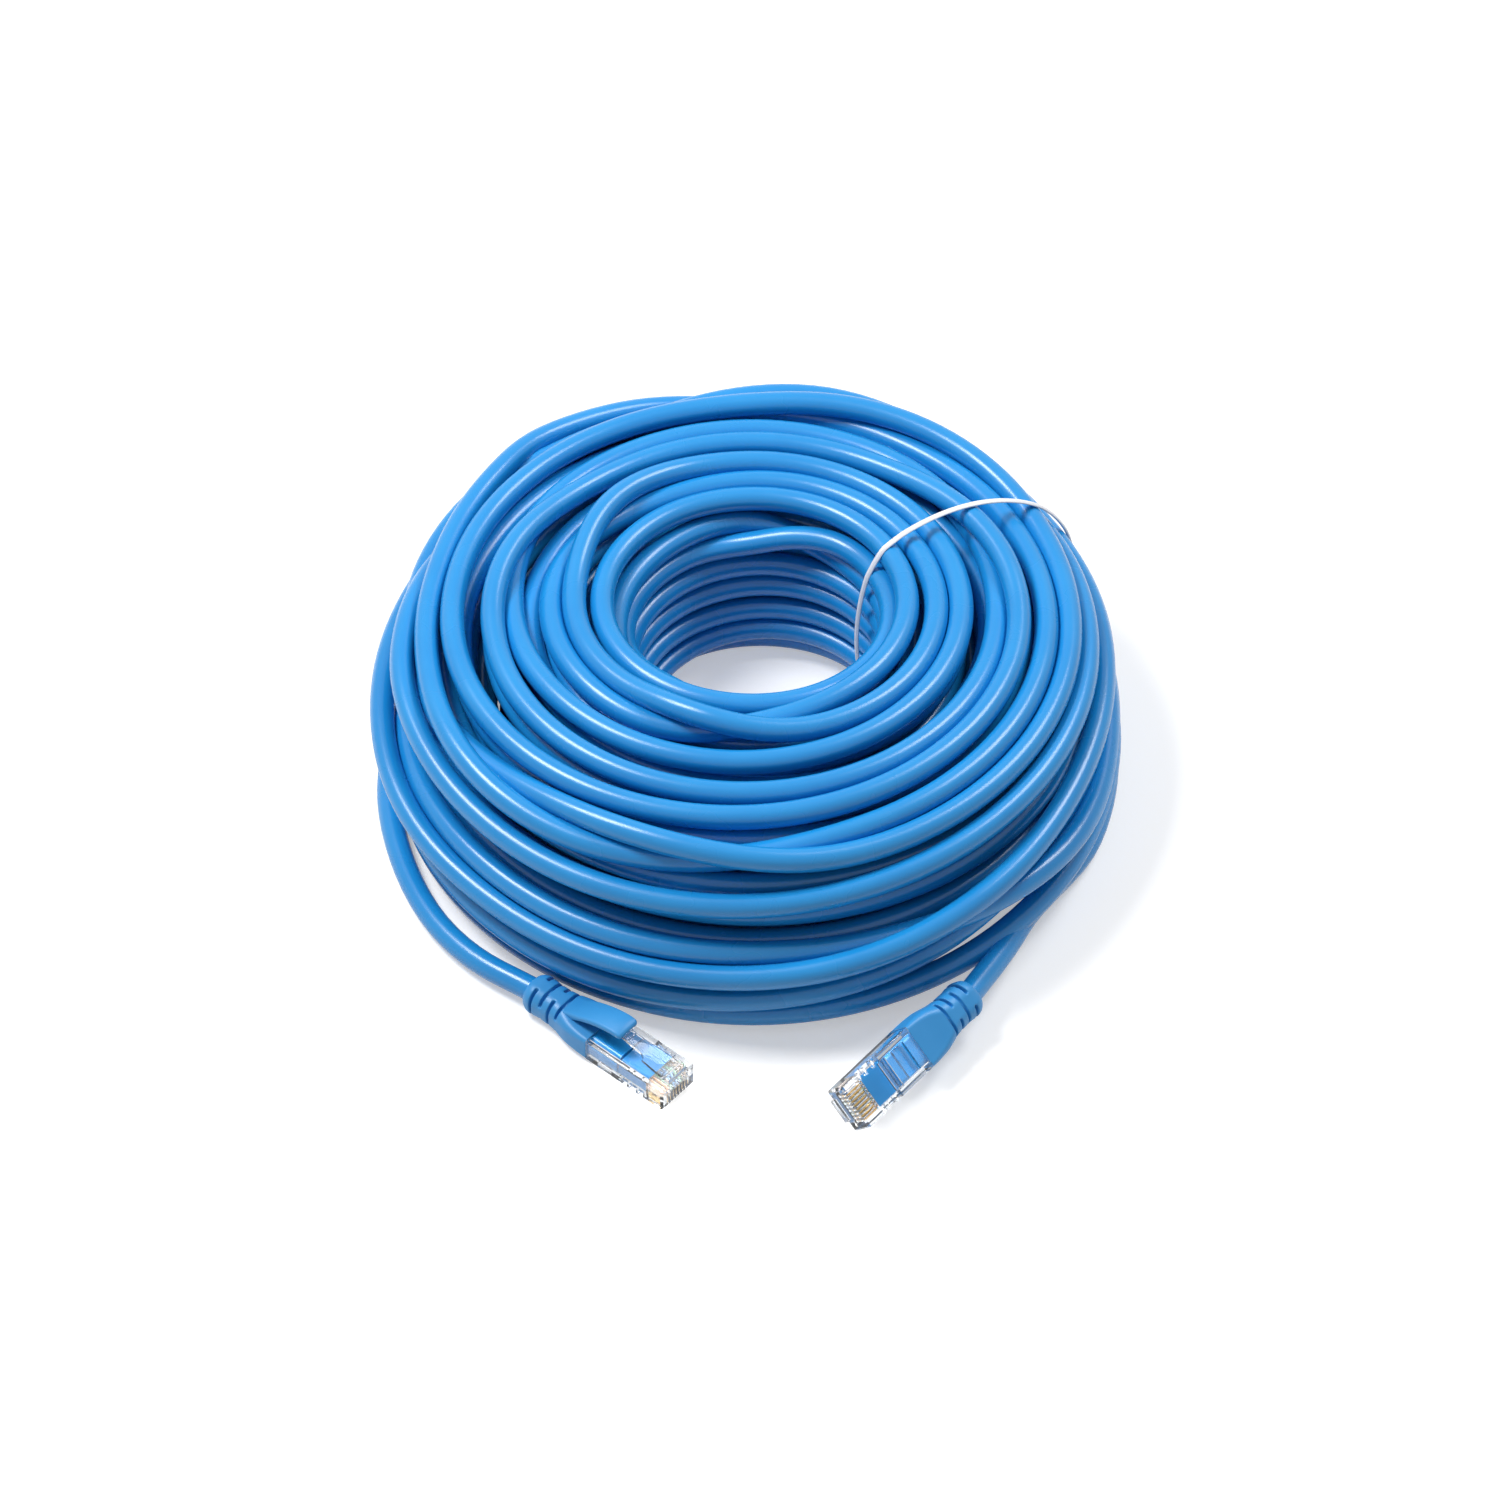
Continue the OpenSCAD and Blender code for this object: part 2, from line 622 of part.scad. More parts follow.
// The arched guard of the boot that covers the latch's tab and presses it
module latch_guard() {
    root_turn = asin(guard_run / guard_r);
    tip_turn = asin((guard_reach - guard_apex_x) / guard_r);
    skirt_turn = asin((guard_apex_x - skirt_x) / guard_r);
    color(blue) {
        translate([guard_x, 0, guard_z]) rotate([90, 0, 0])
            cylinder(h = guard_w, r = guard_knuckle, center = true);
        arch(90 + skirt_turn - 2, 90 + root_turn) translate([guard_r, 0])
            square([arm_t, guard_w - guard_bevel], center = true);
        arch(90 - tip_turn, 90 + skirt_turn) guard_section();
        translate([guard_apex_x, 0, guard_centre_z]) rotate([0, tip_turn - 1, 0]) translate([0, 0, guard_r])
            rotate([90, 0, 0]) cylinder(h = guard_w - 3 * guard_bevel, r = lip_r, center = true);
    }
}

// A section swept along the guard's arc between two angles, in side view
module arch(from, to) {
    translate([guard_apex_x, 0, guard_centre_z]) rotate([90, 0, 0]) rotate([0, 0, from])
        rotate_extrude(angle = to - from, $fn = 180) children();
}

// The guard's section: a bevelled crown with a skirt along each side
module guard_section() {
    top = guard_r + guard_t / 2;
    low = guard_r - guard_t / 2;
    half = guard_w / 2;
    side = [[top, half - guard_bevel], [top - guard_bevel, half], [low - guard_skirt, half],
        [low - guard_skirt, half - skirt_t], [low, half - skirt_t]];
    polygon(concat(side, [for (i = [len(side) - 1:-1:0]) [side[i][0], -side[i][1]]]));
}

// ---------------------------------------------------------------- nodes

cable_coil();
coil_core();
cable_tail_a();
cable_tail_b();
tie_band();
tie_twist();

on_plug_a() housing();  // housing_a
on_plug_a() latch();  // latch_a
on_plug_a() contacts();  // contacts_a
on_plug_a() load_bar();  // load_bar_a
on_plug_a() jacket_end();  // jacket_end_a
on_plug_a() boot();  // boot_a
on_plug_a() latch_guard();  // latch_guard_a
on_plug_a() wire_pair([1, 2], "orange");  // pair_orange_a
on_plug_a() wire_pair([3, 6], "green");  // pair_green_a
on_plug_a() wire_pair([4, 5], "blue");  // pair_blue_a
on_plug_a() wire_pair([7, 8], "brown");  // pair_brown_a

on_plug_b() housing();  // housing_b
on_plug_b() latch();  // latch_b
on_plug_b() contacts();  // contacts_b
on_plug_b() load_bar();  // load_bar_b
on_plug_b() jacket_end();  // jacket_end_b
on_plug_b() boot();  // boot_b
on_plug_b() latch_guard();  // latch_guard_b
on_plug_b() wire_pair([1, 2], "orange");  // pair_orange_b
on_plug_b() wire_pair([3, 6], "green");  // pair_green_b
on_plug_b() wire_pair([4, 5], "blue");  // pair_blue_b
on_plug_b() wire_pair([7, 8], "brown");  // pair_brown_b
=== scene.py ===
# %% [markdown]
# A network patch cable, wound into a ring-shaped coil, with a clear plug on each end.
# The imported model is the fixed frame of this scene: it says where each rigid piece is and how it moves.
# Everything below dresses that frame, and nothing moves or resizes it.

# %% Load the frame
import math

import bmesh
import bpy
import numpy as np
from mathutils import Matrix, Vector


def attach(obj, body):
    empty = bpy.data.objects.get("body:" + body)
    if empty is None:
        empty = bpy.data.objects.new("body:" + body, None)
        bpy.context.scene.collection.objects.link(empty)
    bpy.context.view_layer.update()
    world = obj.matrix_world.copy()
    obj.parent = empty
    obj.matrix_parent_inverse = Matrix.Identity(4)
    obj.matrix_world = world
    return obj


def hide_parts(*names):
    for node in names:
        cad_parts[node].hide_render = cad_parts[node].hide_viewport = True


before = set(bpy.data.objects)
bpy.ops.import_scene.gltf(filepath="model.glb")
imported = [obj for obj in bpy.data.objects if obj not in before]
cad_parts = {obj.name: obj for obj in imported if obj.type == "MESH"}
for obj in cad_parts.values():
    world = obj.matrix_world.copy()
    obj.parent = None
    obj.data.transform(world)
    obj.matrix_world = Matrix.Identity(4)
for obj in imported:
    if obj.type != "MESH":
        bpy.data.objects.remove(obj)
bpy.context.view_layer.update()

# %% [markdown]
# The frame is in metres, but a cable's sizes are easier to read in millimetres.
# So they are written in millimetres, and one factor turns them into metres where a piece is made.

# %% Sizes of the cable and its coil, in millimetres
MM = 0.001
CABLE_D = 6.0
CABLE_R = CABLE_D / 2
COIL_CENTRE = np.array([1.06, 18.28, 0.0])
SECTION_OUT = 88.0  # outer wall of the coil's section, along the middle of its outer strands
SECTION_IN = 34.0
SECTION_LOW = CABLE_R
SECTION_TOP = 47.0
# The section's corners, from the outer bottom up and round: their sides, their edges and their radius.
CORNERS = [(1, -1, SECTION_OUT, SECTION_LOW, 5.0), (1, 1, SECTION_OUT, SECTION_TOP, 21.0),
           (-1, 1, SECTION_IN, SECTION_TOP, 8.0), (-1, -1, SECTION_IN, SECTION_LOW, 5.0)]
TIE_ANGLE = 33.0
START_ANGLE = TIE_ANGLE - 60
print("coil", 2 * (SECTION_OUT + CABLE_R), "mm across")

# %% [markdown]
# The camera comes first, because everything is judged from where it stands.
# It looks down at the coil from in front, at a little under 50 degrees, from about a metre away.
# A long lens at that distance keeps the ring's far side nearly as large as its near side.

# %% Camera
CAMERA_DISTANCE = 1100.0
CAMERA_ELEVATION = 46.0
CAMERA_TARGET = COIL_CENTRE + [0, -23.6, 25]
CAMERA_LENS = 108.5


def add_object(name, data):
    """A new object in the scene."""
    piece = bpy.data.objects.new(name, data)
    bpy.context.scene.collection.objects.link(piece)
    return piece


def make_camera():
    """A camera on a line up and back from its target, with a 36 mm wide sensor."""
    tilt = math.radians(CAMERA_ELEVATION)
    place = CAMERA_TARGET + CAMERA_DISTANCE * np.array([0, -math.cos(tilt), math.sin(tilt)])
    data = bpy.data.cameras.new("camera")
    data.lens = CAMERA_LENS
    data.sensor_width = 36.0
    data.clip_start = 0.01
    data.clip_end = 20.0
    camera = add_object("camera", data)
    camera.location = place * MM
    camera.rotation_euler = (math.radians(90 - CAMERA_ELEVATION), 0, 0)
    bpy.context.scene.camera = camera
    return camera


camera = make_camera()
print("camera at", [round(x, 3) for x in camera.location])

# %% [markdown]
# A round cable wound by hand into a ring lies in layers. Seen in section, each turn is one round strand.
# The cable could be drawn as a plain helix, but then every turn would lie like its neighbour.
# Here the section is filled with lanes in four layers, the cable runs through the lanes one turn at a time,
# and a short relaxation then pushes the strands apart, keeps them stiff and presses them together.

# %% Lanes of the coil's section
STEPS = 48  # points of the cable in one turn
LAYER_STEP = 6.35  # from one layer of strands to the next
LANES = [27, 18, 11, 5]  # strands in each layer, from the outside


def run_of(points):
    """How far along a line each of its points lies."""
    return np.concatenate([[0], np.cumsum(np.linalg.norm(np.diff(points, axis=0), axis=1))])


def points_at(points, at):
    """The points of a line at the given distances along it."""
    run = run_of(points)
    return np.stack([np.interp(at, run, column) for column in points.T], 1)


def arc(radius, angles):
    """Points of a circle, from its middle."""
    return [(radius * math.cos(a), radius * math.sin(a)) for a in angles]


def section_outline(inset):
    """The coil's section moved in by inset: its girth, and points round it as [radius, height]."""
    points = []
    for quarter, (sx, sz, edge_x, edge_z, radius) in enumerate(CORNERS):
        keep = max(radius - inset, 0.5)
        # A corner rounder than the inset keeps its middle, and a sharper one moves in.
        shift = max(inset - radius + 0.5, 0.0)
        cx, cz = edge_x - sx * radius - sx * shift, edge_z - sz * radius - sz * shift
        angles = np.radians(np.linspace(90 * quarter - 90, 90 * quarter, 24))
        points += [(cx + x, cz + z) for x, z in arc(keep, angles)]
    points = np.array(points + points[:1])
    girth = run_of(points)[-1]
    return girth, points_at(points, np.linspace(0, girth, 721))


OUTLINES = [section_outline(LAYER_STEP * layer) for layer in range(len(LANES))]
print("layers, mm round:", [round(girth, 1) for girth, _ in OUTLINES])


def on_outline(layer, share):
    """The point at a share of the way round a layer's outline."""
    points = OUTLINES[layer][1]
    place = np.mod(share, 1.0) * (len(points) - 1)
    low = np.floor(place).astype(int)
    part = (place - low)[..., None]
    return points[low] * (1 - part) + points[np.minimum(low + 1, len(points) - 1)] * part


def nearest(layer, point):
    """Where a layer's outline is nearest to a point, as a share of the way round."""
    points = OUTLINES[layer][1]
    return np.argmin(np.linalg.norm(points - point, axis=1)) / (len(points) - 1)

# %% [markdown]
# The cable starts at plug B, climbs the outer wall of the coil, crosses its top and goes down the hole, all in
# the outermost layer. From the hidden underside it then fills the inner layers, there and back,
# and comes out again beside its own start, on its way to plug A.

# %% The cable's way through the lanes
START_RUN = 6.0  # where the first turn lies on the outer outline, in mm from the outer bottom
OUTER_TURNS = 23.0  # turns in the outer layer before the cable dives inside
LAST_TURNS = 1.5  # turns beside its start, before it leaves for plug A
DIVE = 0.75  # turns that a change of layer takes
GIRTH = OUTLINES[0][0]
LANE = GIRTH / LANES[0]


def lane_plan():
    """The wanted place of every point of the wound cable, as [radius, height], with its layer."""
    places, layers = [], []

    def along(layer, start, turns, pitch):
        count = round(turns * STEPS)
        places.append(on_outline(layer, start + pitch * np.arange(1, count + 1) / STEPS))
        layers.append(np.full(count, layer))

    def dive(to):
        count = round(DIVE * STEPS)
        ease = 0.5 - 0.5 * np.cos(math.pi * np.arange(1, count + 1) / count)[:, None]
        places.append(places[-1][-1] * (1 - ease) + to * ease)
        layers.append(np.full(count, 1))

    places.append(on_outline(0, np.array([START_RUN / GIRTH])))
    layers.append(np.array([0]))
    along(0, START_RUN / GIRTH, OUTER_TURNS, LANE / GIRTH)
    for layer in (1, 2, 3):
        start = nearest(layer, places[-1][-1])
        dive(on_outline(layer, start))
        along(layer, start, LANES[layer] - 1, (-1 if layer % 2 else 1) / LANES[layer])
    back = (START_RUN + LANE * (OUTER_TURNS + 1)) / GIRTH
    dive(on_outline(0, back))
    along(0, back, LAST_TURNS, LANE / GIRTH)
    return np.concatenate(places), np.concatenate(layers)


wanted, layer_of = lane_plan()
turn_of = np.arange(len(wanted)) / STEPS
angle_of = np.radians(START_ANGLE) + 2 * math.pi * turn_of
print("turns:", round(turn_of[-1], 2), "ends at", round(math.degrees(angle_of[-1]) % 360, 1), "degrees")

# %% [markdown]
# Hand-wound turns cross now and then: a strand rides over its neighbour, and they change places for a while.
# Each crossing below names the upper strand by its turn, and says where the two change places and change back.

# %% Crossings
CROSS_WIDTH = 0.11  # turns that a change of places takes
CROSS_LIFT = 3.9  # how far the upper strand rises over the lower one
CROSS_SINK = 1.6  # how far the lower one gives way
FRONT = -105  # direction between the two tails, in degrees
SETTLE = 12.0  # how far the first turns settle there
SETTLE_TURNS = 6.0  # turns over which that fades
RISE = 2.5  # how far the last two turns rise there
CROSSINGS = [(6.80, 7.24, -1), (5.40, 5.66, 1), (2.97, 3.35, -1), (3.62, 3.90, -1), (10.45, 10.78, 1),
             (8.15, 8.52, 1), (4.28, 4.62, 1), (13.30, 13.66, 1), (1.20, 1.52, 1)]
rng = np.random.default_rng(4)


def step_up(turn, at):
    """0 well before a place, 1 well after it, and smooth between."""
    t = np.clip((turn - at) / CROSS_WIDTH + 0.5, 0, 1)
    return t * t * (3 - 2 * t)


def bump(turn, at):
    """1 at a place and 0 away from it."""
    return np.exp(-((turn - at) / (0.55 * CROSS_WIDTH)) ** 2)


def soft_noise(count, width, size):
    """Random numbers smoothed over a width in points, with a given spread."""
    raw = rng.normal(size=count + 6 * width)
    kernel = np.exp(-0.5 * (np.arange(-3 * width, 3 * width + 1) / width) ** 2)
    smooth = np.convolve(raw, kernel, mode="same")[3 * width:3 * width + count]
    return size * smooth / smooth.std()


def crossing_moves():
    """How far each point is shifted along its outline and lifted out of it."""
    shift, lift = np.zeros(len(turn_of)), np.zeros(len(turn_of))
    for start, end, way in CROSSINGS:
        apart = step_up(turn_of, start) - step_up(turn_of, end)
        under = step_up(turn_of, start + way) - step_up(turn_of, end + way)
        shift += way * LANE * (apart - under)
        for at in (start, end):
            lift += CROSS_LIFT * bump(turn_of, at) - CROSS_SINK * bump(turn_of, at + way)
    return shift, lift


def closed_front():
    """Where both tails have left, the lowest turns settle into their lane."""
    front = np.clip(np.cos(angle_of - math.radians(FRONT)), 0, None) ** 1.5
    settle = -SETTLE * front * np.exp(-(turn_of / SETTLE_TURNS) ** 2)
    return settle + RISE * front * (turn_of > turn_of[-1] - 2)


print(len(CROSSINGS), "crossings")

# %% [markdown]
# No hand lays a cable quite evenly. Smoothed random numbers from a fixed seed let every strand wander a little
# along the outline and out of it, so that the coil is the same each time the script runs.

# %% Places after crossings and wander, before the strands are pushed apart
WANDER_ALONG = (7, 0.95)  # width in points and spread in mm, along the outline
WANDER_OUT = (9, 0.45)  # the same out of the outline
WANDER_INSIDE = (7, 0.7)  # the same for the hidden layers, both ways


def wander_plan():
    count = len(turn_of)
    shift, lift = crossing_moves()
    shift = shift + closed_front() + soft_noise(count, *WANDER_ALONG)
    lift = lift + soft_noise(count, *WANDER_OUT)
    outer = layer_of == 0
    share = np.array([nearest(0, point) for point in wanted])
    moved = on_outline(0, share + shift / GIRTH)
    ahead = on_outline(0, share + (shift + 0.5) / GIRTH)
    along = ahead - moved
    along /= np.linalg.norm(along, axis=1)[:, None]
    outward = np.stack([along[:, 1], -along[:, 0]], 1)
    free = np.stack([soft_noise(count, *WANDER_INSIDE), soft_noise(count, *WANDER_INSIDE)], 1)
    return np.where(outer[:, None], moved + outward * lift[:, None], wanted + free), np.where(outer, lift, 0.0)


planned, lifted = wander_plan()
print("planned", planned.shape, "lift up to", round(float(lifted.max()), 1), "mm")

# %% [markdown]
# The coil isn't a true ring. Its hole lies a little towards the back, its outer wall leans, and in front the lowest
# turns have spread. One even section is wound, and this step moves each point to where it is in its own direction.

# %% The section in each direction
HOLE_LOW = np.array([31.5, 5.0, 4.5])  # radius of the ring of strands round the hole's foot, and its middle
HOLE_TOP = np.array([33.0, 0.0, 8.5])  # the same at the top
LEAN = np.array([-3.0, 8.0])  # how far the outer wall's top lies from its bottom
FOOT = 4.5  # how far the lowest turns spread in front


def walls(angles, heights):
    """The inner and outer limit of the section in each direction, at each height."""
    high = (heights - SECTION_LOW) / (SECTION_TOP - SECTION_LOW)
    hole = HOLE_LOW + (HOLE_TOP - HOLE_LOW) * high[:, None]
    inner = hole[:, 0] + hole[:, 1] * np.cos(angles) + hole[:, 2] * np.sin(angles)
    outer = SECTION_OUT + (high - 0.5) * (LEAN[0] * np.cos(angles) + LEAN[1] * np.sin(angles))
    return inner, outer + FOOT * np.clip(-np.sin(angles), 0, 1) ** 3 * np.clip(1 - high, 0, 1) ** 2


def stretched(places, old, new):
    """Places moved outwards or inwards from between the old walls to between the new ones."""
    share = (places[:, 0] - old[0]) / (old[1] - old[0])
    return np.stack([new[0] + share * (new[1] - new[0]), places[:, 1]], 1)


def skewed(places):
    """Places in the even section, moved to where they are in the section of their own direction."""
    return stretched(places, (SECTION_IN, SECTION_OUT), walls(angle_of, places[:, 1]))


def evened(places):
    """The reverse."""
    return stretched(places, walls(angle_of, places[:, 1]), (SECTION_IN, SECTION_OUT))


ENDS = np.array([SECTION_LOW, SECTION_TOP])
for side, way in (("front", -math.pi / 2), ("back", math.pi / 2)):
    print(side, "walls, bottom and top:", [wall.round(1) for wall in walls(np.full(2, way), ENDS)])

# %% [markdown]
# The relaxation works in the planes through the coil's axis. Every strand meets such a plane nearly square,
# so in it the strands are discs, and each pair that overlaps is pushed apart.
# Between pushes each strand is straightened a little along its length, which is the cable's stiffness,
# and drawn towards its planned place.

# %% Push the strands apart
GAP = 6.02  # wanted distance between the middles of two strands
PUSH = 0.42  # share of the missing distance that each of the two makes up


def by_plane(values):
    """Values of all points, one column for each plane and one row for each turn."""
    turns = math.ceil(len(values) / STEPS)
    padded = np.full((turns * STEPS, values.shape[1]), np.nan)
    padded[:len(values)] = values
    return padded.reshape(turns, STEPS, values.shape[1])


def push_apart(places):
    """Moves both discs of each overlapping pair apart."""
    grid = by_plane(places)
    gap = grid[:, None] - grid[None, :]
    far = np.sqrt((gap ** 2).sum(-1)) + 1e-9
    short = np.where(far < GAP, (GAP - far) / far, 0.0)
    short[np.isnan(short)] = 0.0
    push = np.nansum(gap * short[..., None], axis=1) * PUSH
    return places + push.reshape(-1, 2)[:len(places)]


def straighten(places, share):
    """Draws each point towards the middle of its neighbours along the cable."""
    new = places.copy()
    new[1:-1] += share * (places[:-2] + places[2:] - 2 * places[1:-1]) / 2
    return new


def keep_inside(places, slack):
    """Brings points that are further outside the section's outline than their slack back to it."""
    x, z = places[:, 0].copy(), places[:, 1].copy()
    for sx, sz, edge_x, edge_z, radius in CORNERS:
        cx, cz = edge_x - sx * radius, edge_z - sz * radius
        dx, dz = sx * (x - cx), sz * (z - cz)
        corner = (dx > 0) & (dz > 0)
        far = np.hypot(dx, dz) + 1e-9
        pull = np.where(corner & (far > radius + slack), (radius + slack) / far, 1.0)
        x = np.where(corner, cx + sx * dx * pull, x)
        z = np.where(corner, cz + sz * dz * pull, z)
    x = np.clip(x, SECTION_IN - slack, SECTION_OUT + slack)
    z = np.clip(z, SECTION_LOW, SECTION_TOP + slack)
    return np.stack([x, z], 1)


print("one push moves the strands by up to",
      round(float(np.abs(push_apart(planned) - planned).max()), 2), "mm")

# %% [markdown]
# Now all of these run in turns. In the last rounds the strands are no longer drawn to their planned places, so that
# the pushing, the coil's outline and the cable's own stiffness have the last word.

# %% Relax
ROUNDS = 300
FREE_ROUNDS = 60  # the last rounds, without a pull to the planned places
SOFT_ROUNDS = 40  # the last rounds, with less stiffness
DRAW = 0.05
STIFF, LAST_STIFF = 0.35, 0.12
SLACK = 0.4  # how far a strand may lie outside the outline


def relax():
    target = skewed(planned)
    places = target.copy()
    slack = np.clip(lifted, 0, None) + SLACK
    for turn in range(ROUNDS):
        draw = DRAW if turn < ROUNDS - FREE_ROUNDS else 0.0
        places += draw * (target - places)
        places = straighten(places, STIFF if turn < ROUNDS - SOFT_ROUNDS else LAST_STIFF)
        for _ in range(2):
            places = skewed(keep_inside(evened(push_apart(places)), slack))
        places[0], places[-1] = target[0], target[-1]
    return places


places = relax()
grid = by_plane(places)
gaps = np.sqrt(((grid[:, None] - grid[None, :]) ** 2).sum(-1))
gaps[np.arange(len(gaps)), np.arange(len(gaps))] = np.nan
print("least distance between strands", round(float(np.nanmin(gaps)), 2), "mm")

# %% [markdown]
# The cable is one curve of one spline: tail B, the whole winding and tail A, with a round bevel as its jacket.
# A mesh tube would do as well, but a curve keeps its real length, and its points stay few and smooth.

# %% The cable
TAIL_B = [(51.6, -88.7, 9.2), (59.3, -75.5, 7.6), (63.3, -67.2, 6.4), (67.4, -57.6, 5.8)]
TAIL_A = [(-82.5, 21.5, 3.2), (-87.5, 6, 3), (-90, -8, 3), (-89.5, -21, 3), (-86.5, -35.5, 3),
          (-81.5, -50, 3), (-74.5, -63, 3.1), (-65, -73.5, 3.6), (-57, -79, 4.1), (-51.3, -83, 4.4)]
IN_BOOT = [(-50.6, -83.6, 4.4), (-50.3, -83.85, 4.4), (-50, -84.1, 4.4), (-49.7, -84.35, 4.4)]


def cable_points():
    """The middle line of the whole cable, in mm."""
    coil = np.stack([places[:, 0] * np.cos(angle_of), places[:, 0] * np.sin(angle_of), places[:, 1]], 1)
    return np.concatenate([np.array(TAIL_B), coil, np.array(TAIL_A + IN_BOOT)]) + COIL_CENTRE


def make_cable():
    points = cable_points()
    data = bpy.data.curves.new("cable", "CURVE")
    data.dimensions = "3D"
    data.bevel_depth = 1.0      # times each point's radius
    data.bevel_resolution = 5
    data.resolution_u = 3
    data.use_fill_caps = True
    spline = data.splines.new("NURBS")
    spline.points.add(len(points) - 1)
    for point, place in zip(spline.points, points):
        point.co = (*(place * MM), 1.0)
        point.radius = CABLE_R * MM
    spline.order_u = 4
    spline.use_endpoint_u = True
    return add_object("cable", data), points


cable, route = make_cable()

# %% [markdown]
# The curve stands for the CAD model's coil, its core and both tails, and moves with the body that holds them.

# %% The cable in the frame
def millimetres(*place):
    """A point of the object's frame, in metres, from millimetres."""
    return tuple(round(float(x) * MM, 6) for x in place)


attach(cable, "cable")
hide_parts("cable_coil", "coil_core", "cable_tail_a", "cable_tail_b")

# %% [markdown]
# Both plugs are the same piece turned two ways. In its own frame a plug points along +X, with the latch on +Z,
# and x = 0 is where the boot meets the clear housing. Each piece below is made once in that frame
# and placed twice, so that both ends of the cable match, as they do when one mould makes them.

# %% The plugs' own frames
BOOT_L = 21.6
HOUSING_L = 23.8


def plug_place(entry, heading, turn, axis):
    """A plug's frame: where its cable enters, its heading, and a turn about one of its own axes, in degrees."""
    return (Matrix.Translation(millimetres(*(COIL_CENTRE + entry))) @ Matrix.Rotation(math.radians(heading), 4, "Z")
            @ Matrix.Rotation(math.radians(turn), 4, axis) @ Matrix.Translation((BOOT_L * MM, 0, 0)))


PLUG_PLACES = {"a": plug_place(TAIL_A[-1], -40.3, 0.9, "Y"), "b": plug_place(TAIL_B[0], -129.6, 138, "X")}


def mesh_from(name, points, faces):
    """A mesh from points in millimetres."""
    mesh = bpy.data.meshes.new(name)
    mesh.from_pydata([tuple(float(x) * MM for x in p) for p in points], [], faces)
    mesh.validate()
    mesh.update()
    return mesh


def placed(name, mesh, end, body):
    """An object in a plug's frame, riding on one of that plug's bodies."""
    piece = add_object(f"{name}_{end}", mesh)
    piece.matrix_world = PLUG_PLACES[end]
    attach(piece, body)
    return piece


def turned_out(obj):
    """Makes all faces of a mesh look outwards and shades them smooth."""
    shape = bmesh.new()
    shape.from_mesh(obj.data)
    bmesh.ops.recalc_face_normals(shape, faces=shape.faces)
    for face in shape.faces:
        face.smooth = True
    shape.to_mesh(obj.data)
    shape.free()


NOSE = Vector((HOUSING_L * MM, 0, 0))
print("plug noses at", [tuple(round(x, 4) for x in place @ NOSE) for place in PLUG_PLACES.values()])

# %% [markdown]
# The boot is moulded in soft plastic over the cable's end. It is round at the back, where it grips the cable,
# and swells over two shoulders to the housing's width. Short slots, in turns on its faces and its sides, let it bend.
# One way is a box with loops cut in. Here a section is drawn along the boot, the slots are cut out, and a fine
# voxel remesh with a little smoothing then rounds every edge, as a mould does.

# %% The boot's outside
CUT_GAP = 0.8
LAST_SLOT = -10.2
SLOT_PITCH = 2.7
SLOT_PAIRS = 4


def smooth_curve(table, x):
    """A smooth line through pairs of numbers."""
    table = np.array(table, float)
    slopes = np.gradient(table[:, 1], table[:, 0])
    x = np.clip(np.asarray(x, float), table[0, 0], table[-1, 0])
    at = np.clip(np.searchsorted(table[:, 0], x, side="right") - 1, 0, len(table) - 2)
    x0, y0, m0 = table[at, 0], table[at, 1], slopes[at]
    x1, y1, m1 = table[at + 1, 0], table[at + 1, 1], slopes[at + 1]
    t = (x - x0) / (x1 - x0)
    return ((2 * t ** 3 - 3 * t ** 2 + 1) * y0 + (t ** 3 - 2 * t ** 2 + t) * (x1 - x0) * m0
            + (3 * t ** 2 - 2 * t ** 3) * y1 + (t ** 3 - t ** 2) * (x1 - x0) * m1)


def rounded_section(wide, high, corner):
    """Points of a rounded rectangle in Y and Z, from its half width, half height and corner radius."""
    points = []
    for sy, sz, start in ((1, 1, 0), (-1, 1, 90), (-1, -1, 180), (1, -1, 270)):
        for y, z in arc(corner, np.radians(np.linspace(start, start + 90, 16))):
            points.append((sy * (wide - corner) + y, sz * (high - corner) + z))
    return points


def tube_faces(size, count, closed=False):
    """The faces between a tube's rings: count of them, with size points each."""
    faces = []
    for i in range(count if closed else count - 1):
        for k in range(size):
            a, b = i * size + k, i * size + (k + 1) % size
            faces.append((a, b, (b + size) % (count * size), (a + size) % (count * size)))
    return faces


def lofted(name, stations, sections):
    """A closed mesh through sections of equal length, one at each station along X."""
    size, count = len(sections[0]), len(stations)
    points = [(x, y, z) for x, section in zip(stations, sections) for y, z in section]
    ends = [tuple(range(size))[::-1], tuple(range((count - 1) * size, count * size))]
    return mesh_from(name, points, ends + tube_faces(size, count))


def boot_blank():
    back = -BOOT_L
    stations = np.concatenate([[back, back + 0.15, back + 0.45], np.linspace(back + 0.9, -0.5, 60), [-0.15, 0]])
    wide = smooth_curve([(-21.6, 4.1), (-21.0, 4.42), (-16, 4.68), (-11, 4.9), (-9, 5.3), (-7, 5.72), (-5, 5.9),
                         (-2, 5.96), (0, 5.92)], stations)
    high = smooth_curve([(-21.6, 3.9), (-21.0, 4.16), (-16, 4.2), (-11, 4.18), (-9, 3.95), (-7, 3.68), (-5, 3.48),
                         (-2, 3.42), (0, 3.4)], stations)
    corner = smooth_curve([(-21.6, 3.6), (-11, 3.2), (-8, 2.3), (-4, 1.5), (0, 1.0)], stations)
    return lofted("boot", stations, [rounded_section(w, h, r) for w, h, r in zip(wide, high, corner)])


print("points in one section of the boot:", len(rounded_section(5.9, 3.4, 1.0)))

# %% [markdown]
# Each slot is a short prism, and all of them are taken out in one boolean. An exact solver keeps the thin ribs
# between them whole. The voxel skin and the smoothing come last, because they round the new edges too.

